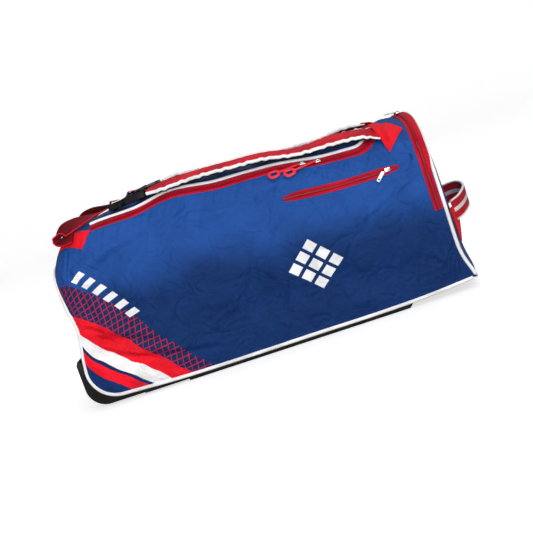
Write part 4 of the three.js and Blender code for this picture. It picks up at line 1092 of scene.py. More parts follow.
def yoke_at_pull_end(u, v):
    q = crowded(SIDE_TOP + 0.0005, v)
    return mix(turn_x(q, LID_UNDER), HALF_LENGTH, u), q


def lid_place(u, v):
    q = crowded(LID_HALF - LID_UNDER, v)
    return mix(LID_START - 0.001, turn_x(q, -LID_UNDER), u), q


def yoke_at_wheel_end(u, v):
    return mix(-HALF_LENGTH, LID_START, u), mix(-SIDE_TOP - 0.0005, SIDE_TOP + 0.0005, v)


columns = len(SKIN_X) - 1
front = sew_panel("front_cloth", columns, WRAP_ROWS, lambda u, v: (by_column(u), mix(-EDGE, -SIDE_TOP, v)))
back = sew_panel("back_cloth", columns, WRAP_ROWS, lambda u, v: (by_column(u), mix(SIDE_TOP, EDGE, v)))
lid = sew_panel("lid_cloth", *LID_GRID, lid_place)
wheel_yoke = sew_panel("wheel_end_yoke_cloth", *WHEEL_YOKE_GRID, yoke_at_wheel_end)
pull_yoke = sew_panel("pull_end_yoke_cloth", *PULL_YOKE_GRID, yoke_at_pull_end)
dress(front, front_print_and_painted_shade, "blue_cloth", "front_panel")
dress(back, blue_cloth, "blue_cloth", "back_panel")
dress(lid, blue_cloth, "blue_cloth", "lid_panel")
dress(wheel_yoke, blue_cloth, "blue_cloth", "top_yoke_wheel_end")
dress(pull_yoke, blue_cloth, "blue_cloth", "top_yoke_pull_end")
print("wrap", [len(piece.data.polygons) for piece in (front, back, lid, wheel_yoke, pull_yoke)])

# %% Sew the ends and the base
# columns: side, half width of the foot, height of the foot, bulge, belly half width, crown height
WHEEL_END = (-1, 0.160, 0.0860, 0.007, 0.164, 0.317)
PULL_END = (1, 0.166, 0.0230, 0.020, 0.171, 0.382)
END_ROUNDING = 0.7
ARCH_FOOT = 0.030
END_GRID, BASE_ROWS, BASE_HALF = (92, 92), 60, 0.170
WHEEL_X, WHEEL_Y, WHEEL_RADIUS = -0.352, 0.128, 0.037
WELL_HALF, WELL_LENGTH = 0.0174, 0.0440


def end_point(end, y, z, offset):
    side, _, foot, bulge, belly, crown = end
    x = side * HALF_LENGTH
    across = 1 - np.clip(np.abs(y) / belly, 0, 1) ** 4
    climb = np.clip((z - foot) / (crown - foot), 0, 1)
    up = np.abs(np.sin(np.pi * np.sqrt(climb))) ** END_ROUNDING
    return np.stack([x + lean_at(x, z) + side * (offset + bulge * across * up), y, z], -1) + BAG_ORIGIN


def end_relief(y, z):
    """Slack waves on an end panel."""
    return 0.0016 * np.sin(21 * y + 9 * z + 2 * np.sin(14 * z)) * np.sin(17 * z + 6 * y + 0.7)


def sew_end(name, end):
    side, half_foot, foot, _, belly, crown = end
    piece, u, v = cut_grid(name, *END_GRID)
    across = side * (2 * u - 1)
    arch = lay(np.full(len(u), side * HALF_LENGTH), across * (EDGE - ARCH_FOOT)) - BAG_ORIGIN
    y, z = mix(across * half_foot, arch[:, 1], v), mix(foot, arch[:, 2], v)
    from_edge = np.clip(1 - np.abs(across) ** 6, 0, 1) * np.clip(4 * v * (1 - v), 0, 1)
    set_points(piece, end_point(end, y, z, end_relief(y, z) * from_edge), (y, z))
    apply_modifier(piece, "SOLIDIFY", thickness=CLOTH_THICK, offset=-1)
    smooth(piece)
    return piece


def sew_base():
    piece, u, v = cut_grid("base_cloth", columns, BASE_ROWS)
    x = by_column(u)
    half, z = smooth_rows(SECTIONS, x)[:, 0], base_height(x)
    points = np.stack([x + lean_at(x, z), mix(half, -half, v), z], -1) + BAG_ORIGIN
    set_points(piece, points, (x, mix(half, -half, v)))
    edit(
        piece,
        lambda: bpy.ops.mesh.select_mode(type="FACE"),
        lambda: bpy.ops.mesh.select_all(action="DESELECT"),
    )
    for face in piece.data.polygons:
        x, y, _ = np.array(face.center) - BAG_ORIGIN
        face.select = bool(abs(abs(y) - WHEEL_Y) < WELL_HALF and abs(x - WHEEL_X) < WELL_LENGTH)
    bpy.ops.object.mode_set(mode="EDIT")
    bpy.ops.mesh.delete(type="FACE")
    bpy.ops.object.mode_set(mode="OBJECT")
    apply_modifier(piece, "SOLIDIFY", thickness=CLOTH_THICK, offset=-1)
    smooth(piece)
    return piece


wheel_end = dress(sew_end("wheel_end_cloth", WHEEL_END), navy_cloth, "navy_cloth", "wheel_end_panel")
pull_end = dress(sew_end("pull_end_cloth", PULL_END), blue_cloth, "blue_cloth", "pull_end_panel")
base = dress(sew_base(), navy_cloth, "navy_cloth", "base_panel")
print("ends and base", [len(piece.data.polygons) for piece in (wheel_end, pull_end, base)])

# %% [markdown]
# ## Piping
# A piped seam is a cord inside a folded strip. A round bead swept along the seam's own points makes it,
# because then it follows every lean of the cloth. One run goes round the base and the wheel end, a ring
# goes round the pull end, and a third one edges the lid just inside its zip.

# %% Pipe the seams
PIPING_RADIUS, LID_PIPING_RADIUS, PIPING_GAP = 0.0040, 0.0040, 0.0004
LID_PIPING_AT = TAPE_HALF["lid"] + PIPING_GAP + LID_PIPING_RADIUS
BASE_STOP = HALF_LENGTH - 2 * PIPING_RADIUS - PIPING_GAP
RING_CORNER = 0.008


def seam_run(side):
    x = np.concatenate([np.linspace(BASE_STOP, CORNER_X, 160)[:-1], SKIN_X[:CORNER_COLUMNS][::-1]])
    return lay(x, np.full(len(x), side * EDGE), -WALL / 2)


def lid_path():
    """The line of the lid zip: along the front, round the pull end and back."""
    turn = np.radians(np.linspace(0, 90, 16))
    arc_x = LID_TURN_X + LID_TURN_RADIUS * np.sin(turn)
    arc_q = LID_HALF - LID_TURN_RADIUS + LID_TURN_RADIUS * np.cos(turn)
    front_half = np.c_[np.r_[LID_START, arc_x], -np.r_[LID_HALF, arc_q]]
    return np.concatenate([front_half, (front_half * (1, -1))[::-1]])


def left_of(path):
    run = np.gradient(path, axis=0)
    run /= np.linalg.norm(run, axis=1, keepdims=True)
    return np.stack([-run[:, 1], run[:, 0]], -1)


LID_LINE = even_path(lid_path(), 0.004)
arch_q = np.linspace(-EDGE, EDGE, 260)
arch = lay(np.full(len(arch_q), -HALF_LENGTH), arch_q, -WALL / 2)
body_line = np.concatenate([seam_run(-1), arch[1:-1], seam_run(1)[::-1]])
ring_q = np.linspace(RING_CORNER - EDGE, EDGE - RING_CORNER, 240)
ring_half = PULL_END[1] - RING_CORNER
ring_y = np.linspace(ring_half, -ring_half, 50)
ring_z = np.full(len(ring_y), BASE_LINE[-1][1])
ring_foot = np.stack([HALF_LENGTH + lean_at(HALF_LENGTH, ring_z), ring_y, ring_z], -1) + BAG_ORIGIN
ring_line = np.concatenate([lay(np.full(len(ring_q), HALF_LENGTH), ring_q, -WALL / 2), ring_foot])
inside_lid = LID_LINE + left_of(LID_LINE) * LID_PIPING_AT
lid_bead = lay(inside_lid[:, 0], inside_lid[:, 1])
body_piping = tube("body_piping_bead", body_line, PIPING_RADIUS)
ring_piping = tube("pull_end_piping_bead", ring_line, PIPING_RADIUS, closed=True)
lid_piping = tube("lid_piping_bead", lid_bead, LID_PIPING_RADIUS)
PIPED = {"body_piping": body_piping, "pull_end_piping": ring_piping, "lid_piping": lid_piping}
for node, piece in PIPED.items():
    smooth(piece)
    dress(piece, white_trim, "white_trim", node)
print("piping", [round(run_length(line)[-1], 3) for line in (body_line, ring_line, lid_bead)])

# %% [markdown]
# ## Zips
# A zip is two tapes with a coil sewn along the middle. The tape is a strip of cloth that follows a path
# on the skin: just below the panels round the lid, and on top of the cloth elsewhere. The coil is a closed
# strip whose height goes up and down once for each tooth.

# %% Sew in the zips
COIL = {"half": 0.0028, "top_half": 0.0018, "height": 0.0024, "pitch": 0.0026, "step": 0.00065}
SEWN_LOW, POCKET_LOW = 0.0012, 0.0005
END_ZIP = {"x": 0.4005, "dip": 0.008, "dip_reach": 0.070, "reach": 0.338}
POCKET_ZIP = {"x0": 0.104, "x1": 0.349, "q0": -0.222, "q1": -0.214, "sag": 0.002, "tip": 0.45, "taper": 1 / 6}


def tape(name, path, edges, heights, thick=0.0010):
    """A strip of tape along a path on the skin. Edges and heights are for its right side, then its left."""
    piece, u, v = cut_grid(name, len(path) - 1, 8)
    at = np.rint(u * (len(path) - 1)).astype(int)
    right, left = (np.broadcast_to(edge, len(path))[at] for edge in edges)
    low, high = (np.broadcast_to(height, len(path))[at] for height in heights)
    sideways = mix(-right, left, v)
    places = path[at] + left_of(path)[at] * sideways[:, None]
    run = run_length(path)
    set_points(piece, lay(places[:, 0], places[:, 1], mix(low, high, v)), (run[at], sideways))
    apply_modifier(piece, "SOLIDIFY", thickness=thick, offset=-1)
    smooth(piece)
    return piece


def coil(name, path, low):
    fine = even_path(path, COIL["step"])
    left, run = left_of(fine), run_length(fine)
    low = np.interp(run, run_length(path), np.broadcast_to(low, len(path)))
    half, top, high = COIL["half"], COIL["top_half"], COIL["height"]
    section = ((-half, 0), (half, 0), (half, 0.5 * high), (top, high), (-top, high), (-half, 0.5 * high))

    def place(u, sideways, outwards):
        at = np.rint(u * (len(fine) - 1)).astype(int)
        tooth = 0.5 + 0.5 * np.sin(2 * np.pi * run[at] / COIL["pitch"] + np.sign(sideways) * math.pi / 2)
        places = fine[at] + left[at] * (sideways * (0.75 + 0.25 * tooth))[:, None]
        return lay(places[:, 0], places[:, 1], low[at] + outwards * (0.55 + 0.45 * tooth))

    return wrap_around(name, len(fine) - 1, section, place, run[-1])


def lens_half(path):
    t = np.linspace(0, 1, len(path))
    full = np.minimum(1, np.minimum(t, 1 - t) / POCKET_ZIP["taper"])
    return TAPE_HALF["pocket"] * mix(POCKET_ZIP["tip"], 1, np.sin(full * math.pi / 2))


end_q = np.linspace(-END_ZIP["reach"], END_ZIP["reach"], 170)
end_line = np.c_[END_ZIP["x"] - END_ZIP["dip"] * np.exp(-((end_q / END_ZIP["dip_reach"]) ** 2)), end_q]
END_FLAP = {"wider": 0.007, "lift": 0.0031, "narrow": 0.260, "full": 0.190}
flap = np.clip((END_FLAP["narrow"] - np.abs(end_q)) / (END_FLAP["narrow"] - END_FLAP["full"]), 0, 1)
flap = flap * flap * (3 - 2 * flap)
end_top = SEWN_LOW + 0.0004
end_edges = (TAPE_HALF["end"] + END_FLAP["wider"] * flap, TAPE_HALF["end"])
t = np.linspace(0, 1, 80)
pocket_sag = POCKET_ZIP["sag"] * np.sin(np.pi * t)
pocket_q = mix(POCKET_ZIP["q0"], POCKET_ZIP["q1"], t) + pocket_sag
pocket_line = np.c_[mix(POCKET_ZIP["x0"], POCKET_ZIP["x1"], t), pocket_q]
pocket_half = lens_half(pocket_line)
lid_half = TAPE_HALF["lid"]
# columns: name, path, reach to the right and left, height of both edges, height of the coil's foot
ZIPS = (
    ("lid", LID_LINE, (lid_half, lid_half), (-0.0007, -0.0007), -0.0003),
    ("end", end_line, end_edges, (end_top + END_FLAP["lift"] * flap, end_top), end_top + 0.0016 * flap),
    ("pocket", pocket_line, (pocket_half, pocket_half), (POCKET_LOW + 0.0007,) * 2, POCKET_LOW + 0.0009),
)
for name, line, edges, heights, coil_low in ZIPS:
    dress(tape(f"{name}_tape", line, edges, heights), zip_tape, "red_webbing", f"{name}_zip_tape")
    dress(coil(f"{name}_coil", line, coil_low), coil_plastic, "dark_red_tape", f"{name}_zip_coil")
print("zips", [round(run_length(line)[-1], 3) for _, line, *_ in ZIPS])

# %% [markdown]
# ## Sliders and pulls
# A slider is a small cast block with a bridge over it. The block starts as a cube, is scaled and
# bevelled, and the bridge is a bent round bar. Each one is built flat at the origin and then seated on
# the cloth with one matrix.

# %% Seat the sliders and pulls
ON_LID_COIL = 0.0032
SLIDER = {"length": 0.013, "wide": 0.009, "low": -0.0010, "high": 0.0030, "bevel": 0.0012}
BRIDGE = {"half": 0.0045, "sunk": 0.0004, "rise": 0.0016, "radius": 0.0010}
PULL = {"neck": 0.044, "length": 0.027, "wide": 0.021, "band": 0.0066, "thick": 0.0032, "corner": 0.0065}
PULL.update({"neck_half": 0.0026, "into_slider": 0.001, "into_ring": 0.003, "ring_run": 0.07})


def seat(x, q, rise, turn=0):
    """The matrix that stands a flat piece on the cloth, turned from the bag's length by an angle."""
    x, q = np.array([x]), np.array([q])
    up = sample(skin_normals, x, q)[0]
    climb = (lay(x, q + 0.002) - lay(x, q - 0.002))[0]
    up, climb = Vector(up).normalized(), Vector(climb)
    climb = (climb - up * climb.dot(up)).normalized()
    axes = Matrix((climb.cross(up), climb, up)).transposed().to_4x4()
    return Matrix.Translation(Vector(lay(x, q, rise)[0])) @ axes @ Matrix.Rotation(math.radians(turn), 4, "Z")


def join(name, *pieces):
    bpy.ops.object.select_all(action="DESELECT")
    for piece in pieces:
        piece.select_set(True)
    bpy.context.view_layer.objects.active = pieces[0]
    if len(pieces) > 1:
        bpy.ops.object.join()
    return new_piece(name)


def ellipse(half_s, half_h, count=10, s0=0.0, h0=0.0, power=1.0):
    """A round or squarish section of (sideways, outwards)."""
    turn = 2 * np.pi * np.arange(count) / count
    cos, sin = np.cos(turn), np.sin(turn)
    sideways = half_s * np.sign(cos) * np.abs(cos) ** power
    outwards = half_h * np.sign(sin) * np.abs(sin) ** power
    return np.c_[s0 + sideways, h0 + outwards]


def slider(name, matrix):
    bpy.ops.object.select_all(action="DESELECT")
    middle = (SLIDER["low"] + SLIDER["high"]) / 2
    bpy.ops.mesh.primitive_cube_add(size=1, location=(0, 0, middle))
    block = new_piece(f"{name}_block")
    block.scale = (SLIDER["length"], SLIDER["wide"], SLIDER["high"] - SLIDER["low"])
    bpy.ops.object.transform_apply(location=True, rotation=True, scale=True)
    edit(block, lambda: bpy.ops.mesh.bevel(offset=SLIDER["bevel"], segments=3))
    turn = np.linspace(0, np.pi, 12)
    rise = SLIDER["high"] - BRIDGE["sunk"] + BRIDGE["rise"] * np.sin(turn)
    arc = np.c_[BRIDGE["half"] * np.cos(turn), np.zeros(len(turn)), rise]
    bridge = tube(f"{name}_bridge", arc, BRIDGE["radius"])
    piece = join(name, block, bridge)
    piece.data.transform(matrix)
    smooth(piece)
    return piece


def round_loop():
    """The middle line of the pull's ring, as a rounded rectangle that starts at its near end."""
    half = (PULL["wide"] - PULL["band"]) / 2
    near, far = PULL["neck"] + PULL["band"] / 2, PULL["neck"] + PULL["length"] - PULL["band"] / 2
    corner = PULL["corner"]
    turns = np.radians(np.linspace(0, 90, 7))
    corners = []
    for k, (x, y) in enumerate(((far, half), (near, half), (near, -half), (far, -half))):
        centre = np.array((x - corner if x == far else x + corner, math.copysign(half - corner, y)))
        angle = turns + k * math.pi / 2
        corners.append(centre + corner * np.c_[np.cos(angle), np.sin(angle)])
    path = np.concatenate(corners)
    return even_path(np.concatenate([path, path[:1]]), 0.0012)


def loop_pull(name, matrix):
    path = round_loop()
    run = np.gradient(path, axis=0)
    run[0] = run[-1] = path[1] - path[-2]
    run /= np.linalg.norm(run, axis=1, keepdims=True)
    side = np.c_[-run[:, 1], run[:, 0]]
    middle = PULL["thick"] / 2

    def ring_place(u, s, h):
        at = np.rint(u * (len(path) - 1)).astype(int)
        flat = path[at] + side[at] * s[:, None]
        return np.c_[flat, middle + h]

    def neck_place(u, s, h):
        return np.c_[mix(-PULL["into_slider"], PULL["neck"] + PULL["into_ring"], u), s, middle + h]

    section = ellipse(PULL["band"] / 2, middle, 12, power=0.7)
    ring = wrap_around(f"{name}_ring", len(path) - 1, section, ring_place, PULL["ring_run"])
    section = ellipse(PULL["neck_half"], middle, 10, power=0.7)
    neck = wrap_around(f"{name}_neck", 12, section, neck_place, PULL["neck"])
    piece = join(name, ring, neck)
    piece.data.transform(matrix)
    smooth(piece)
    return piece


FLAT_ANGLE = math.radians(1.0)


def copy_solid(node, name, bevel, segments=3, angle=35):
    """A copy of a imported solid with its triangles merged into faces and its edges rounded."""
    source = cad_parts[node]
    data = source.data.copy()
    data.transform(source.matrix_world)
    piece = bpy.data.objects.new(name, data)
    bpy.context.collection.objects.link(piece)
    make_active(piece)
    new_piece(name)
    edit(piece, merge_points, lambda: bpy.ops.mesh.dissolve_limited(angle_limit=FLAT_ANGLE))
    limits = {"limit_method": "ANGLE", "angle_limit": math.radians(angle)}
    apply_modifier(piece, "BEVEL", width=bevel, segments=segments, **limits)
    smooth(piece)
    return piece


# columns: node, x, q, rise above the cloth, turn in degrees
SLIDERS = (
    ("lid_slider_a", 0.164, -0.150, ON_LID_COIL, 0),
    ("lid_slider_b", 0.196, -0.150, ON_LID_COIL, 0),
    ("pocket_slider", 0.324, -0.2132, 0.0051, 2),
    ("end_slider", 0.393, -0.034, 0.0072, 90),
)
# columns: node, x, q, lift above the coil
LOOP_PULLS = (("lid_pull_a", 0.157, -0.152, 0.0006), ("lid_pull_b", 0.189, -0.1535, 0.0044))
LOOP_TURN = 192
for node, *place in SLIDERS:
    dress(slider(f"{node}_body", seat(*place)), steel, "bright_metal", node)
for node, x, q, lift in LOOP_PULLS:
    piece = loop_pull(f"{node}_loop", seat(x, q, ON_LID_COIL + lift, LOOP_TURN))
    dress(piece, red_plastic, "red_webbing", node)
for node in ("pocket_pull", "end_pull"):
    dress(copy_solid(node, f"{node}_tab", 0.0005, 2), steel, "bright_metal", node)
print("sliders", len(SLIDERS), "at", [row[1] for row in SLIDERS])

# %% [markdown]
# ## Straps
# A carrying strap is foam between webbing and a black lining, with white tape folded over both edges. It
# hangs free, so it has a route of its own: points above the skin, each with a direction across the strap.
# Sections are carried along those frames. Straps are modelled directly, because a cloth run would erase
# something this narrow.

# %% Frames along the straps
STRAP = {"half": 0.0230, "thick": 0.0080, "binding": 0.0046, "lining_half": 0.026, "lining_top": -0.0050}
STRAP_EDGE = {"foam_under": 0.0006, "wider": 0.0004, "half_height": 0.0034, "middle": -0.0009}
# the lining's sag is partly padding and partly a black sheet put in the shade under the strap
LINING_HALF_THICK, PADDING_AND_SHADE_SAG = 0.0009, 0.0026
TAIL_HALF, TAIL_THICK, SELVAGE_RADIUS = 0.019, 0.0026, 0.0015
# columns: length, start, share
RIPPLE_WAVES = ((0.0240, 0.0, 0.5), (0.0155, 1.0, 0.4))
RIPPLE_HEIGHT = 0.0011
# columns: x, q, rise above the cloth, twist in degrees
FRONT_STRAP = (
    (-0.1576, -0.1215, 0.0140, -16),
    (-0.118, -0.125, 0.013, -10),
    (-0.045, -0.126, 0.024, -10),
    (0.020, -0.126, 0.025, -12),
    (0.087, -0.125, 0.023, -12),
    (0.158, -0.124, 0.017, -14),
    (0.234, -0.122, 0.026, -12),
    (0.292, -0.119, 0.017, -6),
    (0.3352, -0.122, 0.0084, -4),
)
BACK_STRAP = (
    (-0.156, 0.122, 0.012, 16),
    (-0.132, 0.125, 0.0115, 8),
    (-0.070, 0.148, 0.0125, 0),
    (0.000, 0.170, 0.027, 0),
    (0.070, 0.177, 0.028, 0),
    (0.140, 0.169, 0.027, 0),
    (0.215, 0.146, 0.018, 0),
    (0.285, 0.122, 0.017, 0),
    (0.334, 0.114, 0.0086, 0),
)
FRONT_TAIL = (
    (-0.338, -0.147, 0.0070, 0),
    (-0.354, -0.142, 0.0085, 4),
    (-0.362, -0.134, 0.0130, 10),
    (-0.352, -0.126, 0.0160, 20),
    (-0.331, -0.121, 0.0140, 18),
    (-0.304, -0.120, 0.0100, 8),
    (-0.274, -0.120, 0.0090, -10),
    (-0.2528, -0.121, 0.0136, -16),
)
BACK_TAIL = tuple((x, -q, rise, -twist) for x, q, rise, twist in FRONT_TAIL)


def frames(points, acrosses, steps):
    """Places, directions across and directions up along a free route."""
    shares = np.linspace(0, 1, steps + 1)
    at = curve_through(points, shares)
    run = np.gradient(at, axis=0)
    run /= np.linalg.norm(run, axis=1, keepdims=True)
    across = curve_through(acrosses, shares)
    across -= run * (across * run).sum(1, keepdims=True)
    across /= np.linalg.norm(across, axis=1, keepdims=True)
    return at, across, np.cross(run, across)


def skin_frames(rows, steps):
    x, q, rise, twist = np.array(rows).T
    climb = lay(x, q + 0.002) - lay(x, q - 0.002)
    climb /= np.linalg.norm(climb, axis=1, keepdims=True)
    turn = np.radians(twist)
    turned = np.c_[
        climb[:, 0],
        climb[:, 1] * np.cos(turn) - climb[:, 2] * np.sin(turn),
        climb[:, 1] * np.sin(turn) + climb[:, 2] * np.cos(turn),
    ]
    return frames(lay(x, q, rise), turned, steps)


def along(route, section, name, relief=None):
    """A closed strip along frames; relief(run, sideways, outwards, share) gives a small move outwards."""
    at, across, up = route
    run = run_length(at)

    def place(u, s, h):
        i = np.rint(u * (len(at) - 1)).astype(int)
        if relief is not None:
            h = h + relief(run[i], s, h, u)
        return at[i] + across[i] * s[:, None] + up[i] * h[:, None]

    return wrap_around(name, len(at) - 1, section, place, run[-1])


def ripple(run, s, h, u):
    """Sewn edges draw the webbing into shallow waves, deepest at both edges."""
    wave = sum(share * np.sin(2 * np.pi * run / length + start) for length, start, share in RIPPLE_WAVES)
    fade = np.clip(20 * u, 0, 1) * np.clip(20 * (1 - u), 0, 1)
    return RIPPLE_HEIGHT * wave * fade * (s / STRAP["half"]) ** 2


# how far the strap's edge towards the ridge rolls down at each row of its route
ROLL = {"front": (0, 0.0020, 0.0075, 0.0085, 0.0080, 0.0040, 0.0035, 0, 0), "back": (0,) * 9}
ROLL_START, ROLL_REACH = 0.006, 0.020
PRESSED_FROM = 0.88


def rolled(place, relief):
    """Adds the roll of one strap's edge to a relief, and presses the strap flat where its patch holds it."""
    drops = np.array(ROLL[place], float)

    def move(run, s, h, u):
        drop = np.interp(u * (len(drops) - 1), np.arange(len(drops)), drops)
        pressed = 0.55 * np.clip((u - PRESSED_FROM) / (1 - PRESSED_FROM), 0, 1)
        roll = drop * np.clip((s - ROLL_START) / ROLL_REACH, 0, None) ** 2
        return relief(run, s, h, u) - roll - h * pressed

    return move


def lining_relief(run, s, h, u):
    """The lining's lower face bulges away from the strap, except at the ends: partly padding, and partly a
    black sheet that stands in for the shade under the strap.
    """
    fade = np.clip(7 * u, 0, 1) * np.clip(7 * (1 - u), 0, 1)
    sag = -PADDING_AND_SHADE_SAG * (1 - 0.5 * (s / STRAP["lining_half"]) ** 4)
    bulge = np.where(h < STRAP["lining_top"] - 0.0010, sag, 0)
    return bulge * fade + ripple(run, s, h, u) * fade


STRAP_STEPS, TAIL_STEPS = 260, 120
EDGE_AT = STRAP["half"] + STRAP_EDGE["wider"] + STRAP["binding"] / 2
EDGE_HALF = STRAP["binding"] / 2 + STRAP_EDGE["wider"]
strap_routes = {}
for place, rows, tail_rows in (("front", FRONT_STRAP, FRONT_TAIL), ("back", BACK_STRAP, BACK_TAIL)):
    route = skin_frames(rows, STRAP_STEPS)
    strap_routes[place] = route
    section = ellipse(STRAP["half"] + STRAP_EDGE["foam_under"], STRAP["thick"] / 2, 26, power=0.35)
    pad = along(route, section, f"strap_foam_{place}", rolled(place, ripple))
    dress(pad, red_strap_cloth, "red_webbing", f"strap_pad_{place}")
    for letter, side in (("a", 1), ("b", -1)):
        middle = (side * EDGE_AT, STRAP_EDGE["middle"])
        section = ellipse(EDGE_HALF, STRAP_EDGE["half_height"], 14, *middle, power=0.75)
        edge = along(route, section, f"strap_edge_{place}_{letter}", rolled(place, ripple))
        dress(edge, white_trim, "white_trim", f"strap_binding_{place}_{letter}")
    lining_middle = STRAP["lining_top"] - LINING_HALF_THICK
    section = ellipse(STRAP["lining_half"], LINING_HALF_THICK, 20, 0, lining_middle, 0.4)
    lining = along(route, section, f"strap_mesh_{place}", rolled(place, lining_relief))
    dress(lining, black_lining, "black_lining", f"strap_lining_{place}")
    tail_route = skin_frames(tail_rows, TAIL_STEPS)
    section = ellipse(TAIL_HALF, TAIL_THICK / 2, 20, 0, TAIL_THICK / 2, 0.35)
    webbing = along(tail_route, section, f"strap_web_{place}")
    # the tail's darker red is painted shade on the straps' red webbing
    dress(webbing, painted_shade_webbing, "dark_red_tape", f"strap_tail_{place}")
    at, across, up = tail_route
    near = -1 if place == "front" else 1
    selvage_line = at + across * near * TAIL_HALF + up * TAIL_THICK / 2
    selvage = tube(f"strap_selvage_{place}", selvage_line, SELVAGE_RADIUS)
    dress(selvage, red_strap_cloth, "red_webbing")
    print(place, "strap", round(run_length(route[0])[-1], 3), "tail", round(run_length(tail_route[0])[-1], 3))

# %% [markdown]
# ## Buckles
# Each strap closes with a side-release buckle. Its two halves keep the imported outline, because the
# webbing slots must stay where they are: the copies only get round edges. Grip ridges, an inner block
# between the halves, and a neck and a tip of webbing finish it.

# %% Fit the buckles
BUCKLE = {"x": -0.206, "q": 0.121, "rise": 0.0155, "tilt": -16, "half": 0.026, "thick": 0.014}
BUCKLE_BEVEL = 0.0038
RIDGES = {"count": 4, "first": -0.002, "pitch": 0.0042, "half": 0.015, "radius": 0.0011}
CORE = {"x": -0.009, "length": 0.012, "narrower": 0.008, "thinner": 0.003, "bevel": 0.0015}
NECK = {"half": 0.0185, "half_thick": 0.0016, "overlap": 0.008}
TIP = {"half": 0.0165, "half_thick": 0.0008}
# columns: x, rise above the cloth
NECK_ROUTE = ((-0.1735, 0.0155), (-0.166, 0.0155))
TIP_ROUTE = ((-0.2485, 0.0225), (-0.240, 0.0258), (-0.230, 0.0240))


def ridge_bars(name, matrix):
    """Grip ridges across the top of a buckle."""
    bars = []
    reach = np.linspace(-RIDGES["half"], RIDGES["half"], 8)
    for k in range(RIDGES["count"]):
        x = RIDGES["first"] + RIDGES["pitch"] * k
        line = np.array([(x, y, BUCKLE["thick"] / 2) for y in reach])
        bars.append(tube(f"{name}_{k}", line, RIDGES["radius"]))
    piece = join(name, *bars)
    piece.data.transform(matrix)
    smooth(piece)
    return piece


def buckle_core(name, matrix):
    """The inner block that is seen between the two halves."""
    bpy.ops.object.select_all(action="DESELECT")
    bpy.ops.mesh.primitive_cube_add(size=1, location=(CORE["x"], 0, 0))
    piece = new_piece(name)
    piece.scale = (CORE["length"], 2 * BUCKLE["half"] - CORE["narrower"], BUCKLE["thick"] - CORE["thinner"])
    bpy.ops.object.transform_apply(location=True, rotation=True, scale=True)
    edit(piece, lambda: bpy.ops.mesh.bevel(offset=CORE["bevel"], segments=3))
    piece.data.transform(matrix)
    smooth(piece)
    return piece


for place, side, rows in (("front", -1, FRONT_STRAP), ("back", 1, BACK_STRAP)):
    for half in ("socket", "tongue"):
        node = f"buckle_{half}_{place}"
        dress(copy_solid(node, f"{node}_body", BUCKLE_BEVEL, 4), black_gloss, "black_plastic", node)
    tilt = Matrix.Rotation(math.radians(-side * BUCKLE["tilt"]), 4, "X")
    matrix = seat(BUCKLE["x"], side * BUCKLE["q"], BUCKLE["rise"]) @ tilt
    dress(ridge_bars(f"buckle_ridges_{place}", matrix), black_gloss, "black_plastic")
    dress(buckle_core(f"buckle_core_{place}", matrix), black_gloss, "black_plastic")
    first, q = rows[0], side * BUCKLE["q"]
    neck_rows = [(x, q, rise, first[3]) for x, rise in NECK_ROUTE]
    neck_rows += [first, (first[0] + NECK["overlap"], *first[1:])]
    section = ellipse(NECK["half"], NECK["half_thick"], 20, power=0.35)
    neck = along(skin_frames(neck_rows, 24), section, f"strap_neck_{place}")
    dress(neck, red_strap_cloth, "red_webbing")
    tip_rows = [(x, q, rise, first[3]) for x, rise in TIP_ROUTE]
    section = ellipse(TIP["half"], TIP["half_thick"], 16, power=0.35)
    tip = along(skin_frames(tip_rows, 16), section, f"strap_tip_{place}")
    dress(tip, red_strap_cloth, "red_webbing")
print("buckles at x", BUCKLE["x"])

# %% [markdown]
# ## Patches and grab handle
# Where a strap ends, a red patch of doubled cloth spreads the pull. A patch is a sheet with four corners
# on the skin, and the patch at the pull end climbs over the end of its strap. The grab handle is a
# webbing loop that stands off the bulged end panel, over two stitched anchors.

# %% Stitch on the patches
# corners go round: x, q
WHEEL_PATCH = np.array(((-0.382, -0.141), (-0.327, -0.186), (-0.300, -0.157), (-0.347, -0.132)))
PULL_PATCH = np.array(((0.320, -0.092), (0.341, -0.176), (0.384, -0.124), (0.358, -0.070)))
PATCH_TOP, PATCH_THICK, PATCH_GRID = 0.0022, 0.0014, (44, 44)
HEM = {"rise": 0.0005, "share": 0.06}
STRAP_END = {"x": 0.354, "soft": 0.018, "q": 0.114, "reach": 0.045, "rise": 0.0118, "slope": 0.30}


def over_strap(x, q):
    """How high the patch is lifted where it lies over the end of a strap."""
    into = np.clip((STRAP_END["x"] - x) / STRAP_END["soft"], 0, 1)
    beside = np.exp(-(((np.abs(q) - STRAP_END["q"]) / STRAP_END["reach"]) ** 4))
    thicker = STRAP_END["slope"] * np.clip(STRAP_END["x"] - STRAP_END["soft"] - x, 0, None)
    return (STRAP_END["rise"] * into * into * (3 - 2 * into) + thicker) * beside


def patch(name, corners, lift=None):
    a, b, c, d = corners
    piece, u, v = cut_grid(name, *PATCH_GRID)
    if corners[:, 1].mean() > 0:
        v = 1 - v
    place = mix(mix(b, c, u[:, None]), mix(a, d, u[:, None]), v[:, None])
    x, q = place.T
    hem = np.minimum.reduce([u, 1 - u, v, 1 - v])
    top = PATCH_TOP + HEM["rise"] * np.clip(1 - hem / HEM["share"], 0, 1)
    if lift is not None:
        top = top + lift(x, q)
    set_points(piece, lay(x, q, top), (x, q))
    apply_modifier(piece, "SOLIDIFY", thickness=PATCH_THICK, offset=-1)
    smooth(piece)
    return piece


PATCHES = []
for place, flip in (("front", (1, 1)), ("back", (1, -1))):
    for end, corners, lift in (("wheel_end", WHEEL_PATCH, None), ("pull_end", PULL_PATCH, over_strap)):
        node = f"strap_patch_{end}_{place}"
        piece = patch(f"{end}_patch_{place}", corners * flip, lift)
        dress(piece, patch_cloth, "red_webbing", node)
        PATCHES.append((corners * flip, lift))
print("patches", len(PATCHES))

